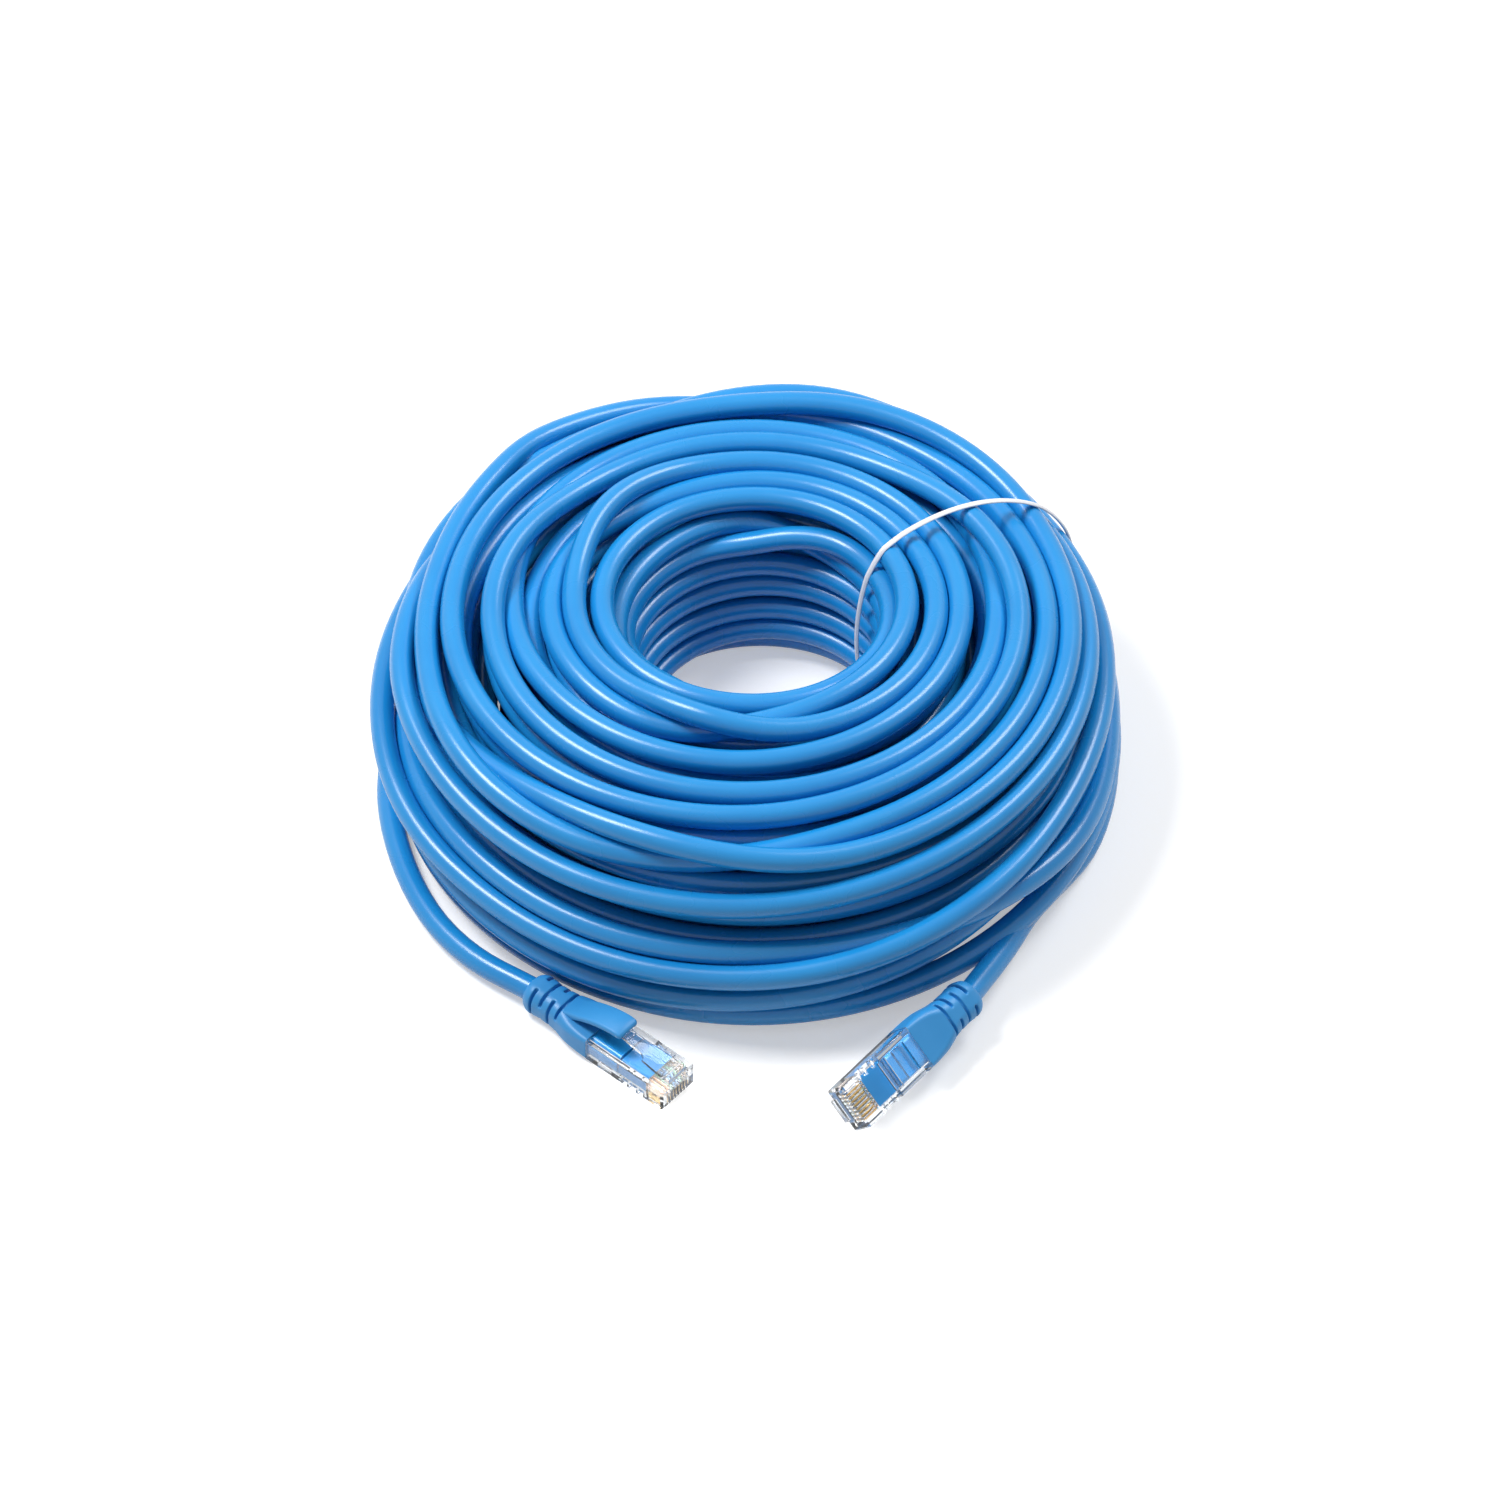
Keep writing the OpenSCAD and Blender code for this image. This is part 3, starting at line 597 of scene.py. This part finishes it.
# %% Cutting and rounding
SLOT_FLOOR = 1.7  # a slot's ends, from the boot's middle
SLOT_DEPTH = 3.45  # radius of its floor, over the cable
OUTSIDE = 9  # well outside the boot
BORE_R = 3.1


def slot_cutter(place, quarter):
    """A prism that cuts one slot, about a third of the way round, down to the wall over the cable."""
    low = math.atan2(SLOT_FLOOR, math.sqrt(SLOT_DEPTH ** 2 - SLOT_FLOOR ** 2))
    ring = [(OUTSIDE, SLOT_FLOOR), *arc(SLOT_DEPTH, np.linspace(low, math.pi - low, 17)),
            (-OUTSIDE, SLOT_FLOOR), (-OUTSIDE, OUTSIDE), (OUTSIDE, OUTSIDE)]
    turn = math.radians(90 * quarter)
    ring = [(y * math.cos(turn) - z * math.sin(turn), y * math.sin(turn) + z * math.cos(turn)) for y, z in ring]
    return lofted("slot", [place, place + CUT_GAP], [ring, ring])


def add_modifier(obj, kind, **settings):
    modifier = obj.modifiers.new(kind.lower(), kind)
    for name, value in settings.items():
        setattr(modifier, name, value)


def applied(obj):
    """The object's mesh with its modifiers carried out."""
    graph = bpy.context.evaluated_depsgraph_get()
    mesh = bpy.data.meshes.new_from_object(obj.evaluated_get(graph))
    obj.modifiers.clear()
    obj.data = mesh
    return mesh


def cut(obj, cutters):
    """Takes the cutters' space out of an object, all at once."""
    shape = bmesh.new()
    for mesh in cutters:
        shape.from_mesh(mesh)
    bmesh.ops.recalc_face_normals(shape, faces=shape.faces)
    joined = bpy.data.meshes.new("cutters")
    shape.to_mesh(joined)
    shape.free()
    tool = add_object("cutters", joined)
    add_modifier(obj, "BOOLEAN", object=tool, solver="EXACT", use_self=True)
    applied(obj)
    bpy.data.objects.remove(tool)


def moulded(name, blank, cutters, voxel, rounds):
    """The blank less the cutters' space, with its edges rounded by an even voxel skin and some smoothing."""
    obj = add_object(f"{name} blank", blank)
    turned_out(obj)
    if cutters:
        cut(obj, cutters)
    add_modifier(obj, "REMESH", mode="VOXEL", voxel_size=voxel * MM)
    add_modifier(obj, "SMOOTH", factor=0.5, iterations=rounds)
    mesh = applied(obj)
    turned_out(obj)
    bpy.data.objects.remove(obj)
    mesh.name = name
    return mesh


def bore():
    ring = arc(BORE_R, np.linspace(0, 2 * math.pi, 48, endpoint=False))
    return lofted("bore", [-BOOT_L - 1, 1], [ring, ring])


print("a slot is", CUT_GAP, "mm wide, and the next one is", SLOT_PITCH, "mm further on")

# %% [markdown]
# The blank gets a bore for the cable and four pairs of slots. Every second pair is turned by a quarter,
# which is what lets the boot bend every way.

# %% Boot
def make_boot_mesh():
    cutters = [bore()]
    for i in range(SLOT_PAIRS):
        place = LAST_SLOT - CUT_GAP - i * SLOT_PITCH
        cutters += [slot_cutter(place, i % 2), slot_cutter(place, i % 2 + 2)]
    return moulded("boot", boot_blank(), cutters, 0.17, 5)


boot_mesh = make_boot_mesh()
boots = {}
for end in "ab":
    boots[end] = placed("moulded_boot", boot_mesh, end, "cable")
    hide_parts(f"boot_{end}")
print("boot:", len(boot_mesh.polygons), "faces")

# %% [markdown]
# The latch guard grows out of the boot and arches over the latch, so that the latch doesn't catch when the cable is
# pulled back. A finger on it presses the latch. Its sides are skirts whose lower edges rise in an arch, and a hollow
# runs under it. It is drawn like the boot, from a section that changes along its length.

# %% The guard's section
GUARD_TOP = [(-9.95, 3.95), (-8, 4.75), (-5, 6.2), (-2, 7.55), (1, 8.6), (4, 9.3), (6.2, 9.55), (7.6, 9.4),
             (8.3, 9.05), (8.6, 8.7)]
GUARD_EDGE = [(-9.95, 3.3), (-7, 3.45), (-5.6, 4.3), (-4, 5.25), (-2, 6.15), (1, 7.2), (4, 7.95), (6.2, 8.25),
              (8.6, 8.2)]
GUARD_HOLLOW = [(-9.95, 3.3), (-5.6, 4.35), (-4, 5.4), (-2, 6.6), (1, 7.75), (4, 8.5), (6.2, 8.75), (7.4, 8.7),
                (8.6, 8.5)]
GUARD_HALF = 3.4  # half its width
GUARD_WALL = 0.85  # thickness of a skirt
GUARD_ROUND = 7.6  # where its tip starts to round off


def guard_section(x, top, edge, hollow):
    """The guard's section at x: a crown with rounded edges and two skirts."""
    half = GUARD_HALF - 0.35 * min(max((-4 - x) / 6, 0), 1)
    if x > GUARD_ROUND:
        half -= 1.0 - math.sqrt(max(1 - (x - GUARD_ROUND) ** 2, 0.0))
    inner = half - GUARD_WALL
    hollow = max(hollow, edge + 0.02)
    bevel = min(0.75, (top - edge) * 0.45)
    right = [(half - bevel + bevel * math.sin(a), top - bevel + bevel * math.cos(a))
             for a in np.linspace(0, math.pi / 2, 7)]
    right += [(half, edge + 0.1), (half - 0.1, edge), (inner + 0.1, edge), (inner, min(edge + 0.1, hollow - 0.01))]
    roof = min(0.35, hollow - edge)
    right += [(inner - roof + y, hollow - roof + z) for y, z in arc(roof, np.linspace(0.2, math.pi / 2, 5))]
    crown = 0.22 * np.cos(np.linspace(-math.pi / 2, math.pi / 2, 9))[1:-1]
    over = [(y, top + c) for y, c in zip(np.linspace(-(half - bevel), half - bevel, 9)[1:-1], crown)]
    left = [(-y, z) for y, z in right[::-1]]
    return over + right + left


print("guard reaches from", GUARD_TOP[0][0], "to", GUARD_TOP[-1][0], "mm")

# %% [markdown]
# The guard is lofted through those sections, hollow underside and all, and rounded like the rest of the moulding.
# It rides on its own body, so it goes down when it is pressed, and the latch goes down under it.

# %% Latch guard
def make_guard_mesh():
    stations = np.concatenate([np.linspace(GUARD_TOP[0][0], GUARD_ROUND, 56), np.linspace(7.75, 8.58, 8)])
    heights = [smooth_curve(table, stations) for table in (GUARD_TOP, GUARD_EDGE, GUARD_HOLLOW)]
    sections = [guard_section(x, *values) for x, *values in zip(stations, *heights)]
    return moulded("guard", lofted("guard", stations, sections), [], 0.13, 4)


guard_mesh = make_guard_mesh()
guards = {}
for end in "ab":
    guards[end] = placed("moulded_guard", guard_mesh, end, f"guard_{end}")
    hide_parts(f"latch_guard_{end}")
print("guard:", len(guard_mesh.polygons), "faces")

# %% [markdown]
# Every finish here is a plastic or a metal that came out of a mould, an extruder or a press. They share two things:
# a very fine grain, and patches where fingers and dust have made the gloss a little uneven.
# Each is one node group, built once and placed in every material with its own numbers.

# %% Helpers for shader nodes
def add_group(name, inputs, outputs):
    """An empty shader node group with number inputs and outputs."""
    group = bpy.data.node_groups.new(name, "ShaderNodeTree")
    for title, value in inputs:
        group.interface.new_socket(title, in_out="INPUT", socket_type="NodeSocketFloat").default_value = value
    for title in outputs:
        group.interface.new_socket(title, in_out="OUTPUT", socket_type="NodeSocketFloat")
    return group, group.nodes.new("NodeGroupInput"), group.nodes.new("NodeGroupOutput")


def set_inputs(node, **values):
    """Sets a node's inputs by name, with an underscore for each space."""
    for title, value in values.items():
        node.inputs[title.replace("_", " ")].default_value = value


def math_node(tree, operation, first, second, clamp=False):
    """A Math node fed by numbers or sockets."""
    node = tree.nodes.new("ShaderNodeMath")
    node.operation = operation
    node.use_clamp = clamp
    for socket, value in zip(node.inputs, (first, second)):
        if isinstance(value, (int, float)):
            socket.default_value = value
        else:
            tree.links.new(value, socket)
    return node.outputs[0]


def noise_node(tree, scale, detail, roughness, seed=0.0):
    """A noise in the object's own space, from 0 to 1, at so many lumps a metre."""
    place = tree.nodes.new("ShaderNodeTexCoord")
    noise = tree.nodes.new("ShaderNodeTexNoise")
    noise.noise_dimensions = "4D"
    set_inputs(noise, W=seed, Detail=detail, Roughness=roughness)
    tree.links.new(place.outputs["Object"], noise.inputs["Vector"])
    tree.links.new(scale, noise.inputs["Scale"])
    return noise.outputs["Fac"]


print("shader helpers ready;", len(bpy.data.node_groups), "node groups so far")

# %% [markdown]
# The two groups that every material here shares.

# %% Grain, and traces of handling
def make_grain_group():
    """Fine grain of a moulded or extruded skin, with slow waves under it."""
    group, given, out = add_group("mould grain", [("Grain per m", 4000.0), ("Waves per m", 130.0),
                                                  ("Wave share", 0.6)], ["Height"])
    fine = noise_node(group, given.outputs["Grain per m"], 3.0, 0.6)
    slow = noise_node(group, given.outputs["Waves per m"], 1.0, 0.4, 2.0)
    waves = math_node(group, "MULTIPLY", slow, given.outputs["Wave share"])
    rest = math_node(group, "SUBTRACT", 1.0, given.outputs["Wave share"])
    small = math_node(group, "MULTIPLY", fine, rest)
    group.links.new(math_node(group, "ADD", waves, small), out.inputs["Height"])
    return group


def make_handling_group():
    """Patches of handling: an even mask, and a speckle of dust."""
    group, given, out = add_group("handling", [("Patches per m", 45.0), ("Dust per m", 900.0),
                                               ("Dust share", 0.04)], ["Patches", "Dust"])
    patches = noise_node(group, given.outputs["Patches per m"], 3.0, 0.55, 4.0)
    group.links.new(math_node(group, "MULTIPLY", math_node(group, "SUBTRACT", patches, 0.22), 1.7, True),
                    out.inputs["Patches"])
    specks = noise_node(group, given.outputs["Dust per m"], 2.0, 0.5, 7.0)
    cut_off = math_node(group, "SUBTRACT", 0.82, given.outputs["Dust share"])
    dust = math_node(group, "MULTIPLY", math_node(group, "SUBTRACT", specks, cut_off), 9.0, True)
    group.links.new(dust, out.inputs["Dust"])
    return group


GRAIN = make_grain_group()
HANDLING = make_handling_group()
print("groups:", GRAIN.name, "and", HANDLING.name)

# %% [markdown]
# One helper then makes every coloured plastic here. The jacket is smooth and a little wavy, as extruded plastic is,
# the boots are duller, and the wires' insulation shows only through the clear housing.

# %% Coloured plastics
def place_group(tree, group, **values):
    """A group in a material, with its own numbers."""
    node = tree.nodes.new("ShaderNodeGroup")
    node.node_tree = group
    set_inputs(node, **values)
    return node


def add_mix(tree, share, first, second):
    """A mix of two colours."""
    mix = tree.nodes.new("ShaderNodeMix")
    mix.data_type = "RGBA"
    tree.links.new(share, mix.inputs["Factor"])
    for socket, value in ((mix.inputs["A"], first), (mix.inputs["B"], second)):
        if isinstance(value, tuple):
            socket.default_value = (*value, 1)
        else:
            tree.links.new(value, socket)
    return mix.outputs["Result"]


def add_range(tree, value, low, high, start=0.0, end=1.0):
    """A number between start and end turned into one between low and high."""
    node = tree.nodes.new("ShaderNodeMapRange")
    set_inputs(node, From_Min=start, From_Max=end, To_Min=low, To_Max=high)
    tree.links.new(value, node.inputs["Value"])
    return node.outputs["Result"]


def add_skin(tree, shader, gloss, depth, dust, patches=45.0, grain=4000.0, waves=130.0, wave_share=0.6):
    """Uneven gloss, and fine grain with a depth in mm; gives the traces of handling."""
    handling = place_group(tree, HANDLING, Patches_per_m=patches, Dust_share=dust)
    skin = place_group(tree, GRAIN, Grain_per_m=grain, Waves_per_m=waves, Wave_share=wave_share)
    tree.links.new(add_range(tree, handling.outputs["Patches"], *gloss), shader.inputs["Roughness"])
    relief = tree.nodes.new("ShaderNodeBump")
    set_inputs(relief, Strength=1.0, Distance=depth * MM)
    tree.links.new(skin.outputs["Height"], relief.inputs["Height"])
    tree.links.new(relief.outputs["Normal"], shader.inputs["Normal"])
    return handling.outputs


def add_material(name):
    """A material, its node tree and its shader."""
    material = bpy.data.materials.new(name)
    material.use_nodes = True
    return material, material.node_tree, material.node_tree.nodes["Principled BSDF"]


DUST_COLOUR = (0.7, 0.74, 0.8)


def plastic(name, shade, worn, gloss, depth=0.02, dust=0.04, **grain):
    """A plastic of two close shades, with its skin and a little dust."""
    material, tree, shader = add_material(name)
    handling = add_skin(tree, shader, gloss, depth, dust, **grain)
    shades = add_mix(tree, handling["Patches"], shade, worn)
    dusty = math_node(tree, "MULTIPLY", handling["Dust"], 0.35)
    tree.links.new(add_mix(tree, dusty, shades, DUST_COLOUR), shader.inputs["Base Color"])
    return material


jacket = plastic("jacket", (0.008, 0.236, 0.600), (0.014, 0.276, 0.650), (0.22, 0.32), waves=110.0, wave_share=0.85,
                 depth=0.05, dust=0.02)
soft_mould = plastic("moulded boot", (0.026, 0.250, 0.590), (0.038, 0.290, 0.640), (0.36, 0.5), grain=5200.0,
                     wave_share=0.3, depth=0.02)
guide = plastic("wire guide", (0.012, 0.200, 0.520), (0.020, 0.240, 0.570), (0.35, 0.45), grain=6000.0,
                wave_share=0.3)
tie_skin = plastic("tie", (0.80, 0.81, 0.86), (0.88, 0.88, 0.91), (0.34, 0.5), grain=7000.0, wave_share=0.3,
                   dust=0.02)
INSULATION = {"orange": ((0.74, 0.46, 0.32), (0.80, 0.54, 0.40)), "green": ((0.38, 0.56, 0.42), (0.46, 0.62, 0.50)),
              "blue": ((0.30, 0.44, 0.66), (0.38, 0.52, 0.72)), "brown": ((0.42, 0.33, 0.27), (0.50, 0.40, 0.33))}
insulation = {name: plastic(f"{name} insulation", *shades, (0.3, 0.42), grain=9000.0, wave_share=0.2, depth=0.01)
              for name, shades in INSULATION.items()}
print("plastics:", [m.name for m in (jacket, soft_mould, guide, tie_skin, *insulation.values())])

# %% [markdown]
# The housing is clear polycarbonate. Light bends in it, so its edges flash white and its inside shows in steps.
# A thin see-through skin would be quicker, but it has no bright edges. This is real glass-like plastic, and only its
# shadow is let through, because lamps don't reach through bent surfaces by themselves.

# %% Clear plastic and gold
PLASTIC_IOR = 1.5
SHADOW_THROUGH = 0.85  # share of the light that its shadow lets through


def make_clear():
    material, tree, shader = add_material("clear shell")
    set_inputs(shader, Base_Color=(0.965, 0.98, 0.99, 1), Transmission_Weight=1.0, IOR=PLASTIC_IOR)
    add_skin(tree, shader, (0.02, 0.08), 0.02, 0.05, patches=160.0, grain=1800.0, waves=260.0, wave_share=0.8)
    path = tree.nodes.new("ShaderNodeLightPath")
    shade = math_node(tree, "MULTIPLY", path.outputs["Is Shadow Ray"], SHADOW_THROUGH)
    tree.links.new(math_node(tree, "SUBTRACT", 1.0, shade), shader.inputs["Alpha"])
    return material


def make_gold():
    material, tree, shader = add_material("gold plate")
    set_inputs(shader, Metallic=1.0)
    handling = add_skin(tree, shader, (0.2, 0.34), 0.006, 0.0, patches=700.0, grain=9000.0, waves=900.0,
                        wave_share=0.4)
    tree.links.new(add_mix(tree, handling["Patches"], (0.80, 0.50, 0.16), (0.90, 0.66, 0.30)),
                   shader.inputs["Base Color"])
    return material


clear_shell = make_clear()
gold = make_gold()
print(clear_shell.name, "with an IOR of", PLASTIC_IOR, "and", gold.name)

# %% [markdown]
# The rigid pieces of the CAD model whose shape is right stay, and get their finish here.
# A weld and a small bevel round their edges, because a sharp edge catches no light, and moulded edges do.

# %% Finishes on the CAD model's own pieces
def finish(name, material, edge=None):
    """Gives a CAD piece its material and, where it has visible edges, a small bevel."""
    node = bpy.data.objects[name]
    for slot in node.material_slots:
        slot.material = material
    if edge:
        add_modifier(node, "WELD", merge_threshold=0.002 * MM)
        add_modifier(node, "BEVEL", width=edge * MM, segments=2, limit_method="ANGLE",
                     angle_limit=math.radians(35), use_clamp_overlap=True)


for end in "ab":
    finish(f"housing_{end}", clear_shell, 0.12)
    finish(f"latch_{end}", clear_shell, 0.1)
    finish(f"contacts_{end}", gold, 0.04)
    finish(f"load_bar_{end}", guide, 0.06)
    finish(f"jacket_end_{end}", jacket)
    for colour, material in insulation.items():
        finish(f"pair_{colour}_{end}", material)
    boots[end].data.materials.clear()
    guards[end].data.materials.clear()
for mesh in (boot_mesh, guard_mesh):
    mesh.materials.append(soft_mould)
cable.data.materials.append(jacket)

# %% [markdown]
# A plastic-covered wire holds the coil together: a thin ribbon with a wire in its middle.
# A ring of the right size could be drawn by hand. Here the line is wrapped round the strands where they really are:
# first the shortest closed line round all of them in the plane of the tie, which is then evened a little.

# %% A line round the strands
TIE_PROFILE = [(-0.8, 0.0), (-0.7, 0.2), (-0.45, 0.24), (-0.3, 0.4), (0.0, 0.46), (0.3, 0.4), (0.45, 0.24),
               (0.7, 0.2)]
TIE_PROFILE += [(-across, -out) for across, out in TIE_PROFILE]


def hull_of(points):
    """The shortest closed line round points in a plane."""
    points = sorted(map(tuple, points))
    half = []
    for row in (points, points[::-1]):
        line = []
        for p in row:
            while len(line) > 1 and ((line[-1][0] - line[-2][0]) * (p[1] - line[-2][1])
                                     <= (line[-1][1] - line[-2][1]) * (p[0] - line[-2][0])):
                line.pop()
            line.append(p)
        half += line[:-1]
    return np.array(half)


def even_loop(points, step):
    """A closed line with points at even distances."""
    closed = np.concatenate([points, points[:1]])
    girth = run_of(closed)[-1]
    return points_at(closed, np.linspace(0, girth, round(girth / step), endpoint=False))


print("corners of the line round a square:", len(hull_of([(0, 0), (2, 0), (1, 1), (2, 2), (0, 2)])))

# %% [markdown]
# The tie and its two ends are the same thing: a small profile drawn along a line. The tie's line is closed.
# The lines of its ends are open, with a face at each end.

# %% A ribbon along a line
def swept(name, line, across, profile, closed):
    """A profile drawn along a line; across says, at each point, which way the profile is wide."""
    line, across = np.array(line), np.array(across)
    ahead = np.roll(line, -1, 0) - np.roll(line, 1, 0)
    if not closed:
        ahead[0], ahead[-1] = line[1] - line[0], line[-1] - line[-2]
    ahead /= np.linalg.norm(ahead, axis=1)[:, None]
    out = np.cross(across, ahead)
    out /= np.linalg.norm(out, axis=1)[:, None]
    size, count = len(profile), len(line)
    points = [line[i] + w * across[i] + h * out[i] for i in range(count) for w, h in profile]
    faces = tube_faces(size, count, closed)
    if not closed:
        faces += [tuple(range(size)), tuple(range((count - 1) * size, count * size))[::-1]]
    piece = add_object(name, mesh_from(name, points, faces))
    piece.data.materials.append(tie_skin)
    turned_out(piece)
    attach(piece, "cable")
    return piece


print("profile of the tie:", len(TIE_PROFILE), "corners")

# %% [markdown]
# The tie crosses the coil at one place. Each strand is a disc in its plane, so the line goes round all the discs.
# It was tied by hand, so where it touches nothing it isn't quite straight.

# %% Tie
TIE_SLANT = 5.0  # degrees between its inner and its outer side
SLANT_IN = SLANT_RUN = 45  # radius where the slant starts, and how far outwards it goes on
TIE_SLACK = 60  # how often the line is evened
TIE_REACH = CABLE_R + 0.35  # from a strand's middle to the tie's own middle line
TIE_STEP = 1.5  # between its points
TIE_FLOOR = 0.55  # its least height above the floor
TIE_MIDDLE = np.array([62.0, 25.0])  # a point well inside the section


def tie_turn(radius):
    """The tie's direction at a distance from the coil's middle: it lies a little aslant on the outer side."""
    return math.radians(TIE_ANGLE - TIE_SLANT * min(max((radius - SLANT_IN) / SLANT_RUN, 0.0), 1.0))


def make_tie_band():
    plane = round((TIE_ANGLE - START_ANGLE) / 360 * STEPS)
    near, far = grid[:, plane], grid[:, plane - 1]
    discs = [a + (b - a) * (math.radians(TIE_ANGLE) - tie_turn(a[0])) / (2 * math.pi / STEPS)
             for a, b in zip(near, far) if not np.isnan(a[0])]
    rim = arc(TIE_REACH, np.linspace(0, 6.2, 40))
    rims = [(x + dx, z + dz) for x, z in discs for dx, dz in rim]
    tight = even_loop(hull_of(rims), TIE_STEP) - TIE_MIDDLE
    reach = np.linalg.norm(tight, axis=1)
    loose = reach.copy()
    for _ in range(TIE_SLACK):
        loose = np.maximum(reach, (np.roll(loose, 1) + np.roll(loose, -1)) / 2)
    loop = TIE_MIDDLE + tight * (loose / reach)[:, None]
    loop[:, 1] = np.maximum(loop[:, 1], TIE_FLOOR)
    line, across = [], []
    for x, z in loop:
        turn = tie_turn(x)
        line.append(COIL_CENTRE + [x * math.cos(turn), x * math.sin(turn), z])
        across.append((-math.sin(turn), math.cos(turn), 0))
    return swept("tie_loop", line, across, TIE_PROFILE, True), loop


tie_loop, tie_line = make_tie_band()
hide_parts("tie_band")
print("tie:", round(float(np.linalg.norm(np.diff(tie_line, axis=0), axis=1).sum()), 1), "mm round")

# %% [markdown]
# The tie's two ends are twisted round each other, low on the outer side, and lie along the coil.

# %% Twisted ends
END_HEIGHT = 14.0
END_OUT = 1.1  # from the tie's line to the twist's middle
END_LENGTH = 17.0  # the twisted stretch
END_TIP = 1.6  # the open tips beyond it
END_PITCH = 4.6  # one full twist
END_SPREAD = 0.62  # from the twist's middle to each end


def make_twist():
    outside = tie_line[tie_line[:, 0] > 60]
    radius = outside[np.argmin(np.abs(outside[:, 1] - END_HEIGHT)), 0] + END_OUT
    profile = [(0.62 * w, 0.9 * h) for w, h in TIE_PROFILE]
    up = np.array([0, 0, 1])
    pieces = []
    for number, side in enumerate((0, math.pi)):
        line, across = [], []
        for at in np.linspace(0, END_LENGTH + END_TIP, 72):
            turn = tie_turn(radius) + at / radius
            a = side + 2 * math.pi * min(at, END_LENGTH) / END_PITCH
            spread = END_SPREAD + 0.5 * max(0.0, at - END_LENGTH) + 0.15 * max(0.0, 1.5 - at)
            out = np.array([math.cos(turn), math.sin(turn), 0])
            line.append(COIL_CENTRE + (radius + spread * math.cos(a)) * out
                        + (END_HEIGHT + spread * math.sin(a)) * up)
            across.append(-math.sin(a) * out + math.cos(a) * up)
        pieces.append(swept(f"tie_end_{number + 1}", line, across, profile, False))
    return pieces


tie_ends = make_twist()
for piece in tie_ends:
    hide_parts("tie_twist")
print("twisted ends:", [piece.name for piece in tie_ends])

# %% [markdown]
# Both plugs, with all that is in them, are the pieces on its ends.

# %% The pieces on the cable's ends
plug_nodes = [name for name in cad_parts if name[-2:] in ("_a", "_b") and not name.startswith("cable_tail")]
hidden = [f"{piece}_{end}" for piece in ("boot", "latch_guard") for end in "ab"]
on_cable = [bpy.data.objects[name] for name in plug_nodes if name not in hidden]
on_cable += [boots["a"], boots["b"], guards["a"], guards["b"]]
print(len(on_cable), "pieces on the cable")

# %% [markdown]
# The object stands on a plain pale floor. The floor is a little bit its own light where the camera sees it,
# so that it reads as white paper, and it still takes the coil's shadow.

# %% Floor
FLOOR_NEAR, FLOOR_FAR = 0.3, 1.3  # in metres from the middle
FLOOR_LIGHT = (0.42, 0.78)  # the paper's own light there


def seen_directly(tree):
    """1 where the camera sees something straight, in a reflection or through clear plastic, and 0 for other light."""
    path = tree.nodes.new("ShaderNodeLightPath")
    seen = path.outputs["Is Camera Ray"]
    for name in ("Is Glossy Ray", "Is Transmission Ray"):
        seen = math_node(tree, "MAXIMUM", seen, path.outputs[name])
    return seen


def make_floor():
    mesh = bpy.data.meshes.new("floor")
    side = 6.0
    mesh.from_pydata([(-side, -side, 0), (side, -side, 0), (side, side, 0), (-side, side, 0)], [], [(0, 1, 2, 3)])
    floor = add_object("floor", mesh)
    material, tree, shader = add_material("paper floor")
    set_inputs(shader, Base_Color=(0.72, 0.72, 0.72, 1), Roughness=0.9, Specular_IOR_Level=0.0,
               Emission_Color=(1, 1, 1, 1))
    # Away from the lamps the paper needs more light of its own to stay white.
    place = tree.nodes.new("ShaderNodeNewGeometry")
    far = tree.nodes.new("ShaderNodeVectorMath")
    far.operation = "LENGTH"
    tree.links.new(place.outputs["Position"], far.inputs[0])
    own = add_range(tree, far.outputs["Value"], *FLOOR_LIGHT, FLOOR_NEAR, FLOOR_FAR)
    tree.links.new(math_node(tree, "MULTIPLY", seen_directly(tree), own), shader.inputs["Emission Strength"])
    mesh.materials.append(material)
    return floor


floor = make_floor()
print("floor", tuple(floor.dimensions))

# %% [markdown]
# Two soft boxes light the coil: a stronger one from the left and a weaker one from behind on the right, so that every
# strand gets a thin bright line. An even white dome fills the shadows. It lights the object only a little,
# but where it is seen straight or in a reflection it is plain white, as the walls of a white tent are.

# %% Lamps
def softbox(name, place, target, size, energy):
    """A square area lamp that looks at a target, both in metres."""
    data = bpy.data.lights.new(name, "AREA")
    data.energy = energy
    data.size = size
    lamp = add_object(name, data)
    lamp.location = place
    lamp.rotation_euler = (Vector(target) - Vector(place)).to_track_quat("-Z", "Y").to_euler()
    return lamp


lamps = [softbox("left softbox", (-0.45, 0.12, 0.83), (0, 0, 0.02), 0.3, 7.5),
         softbox("right softbox", (0.45, 0.3, 0.75), (0, 0, 0.02), 0.3, 3.8)]
print("lamps, W:", [round(lamp.data.energy, 1) for lamp in lamps])

# %% [markdown]
# The dome is the world itself. It has one strength for the light that falls on things and another where it is seen.

# %% White surroundings
FILL, WHITE = 0.3, 1.0


def make_world():
    world = bpy.data.worlds.new("studio")
    world.use_nodes = True
    tree = world.node_tree
    background = tree.nodes["Background"]
    set_inputs(background, Color=(1, 1, 1, 1))
    tree.links.new(add_range(tree, seen_directly(tree), FILL, WHITE), background.inputs["Strength"])
    bpy.context.scene.world = world


make_world()
bpy.context.scene.view_settings.view_transform = "Standard"
print("surroundings:", FILL, "as light and", WHITE, "where they are seen")
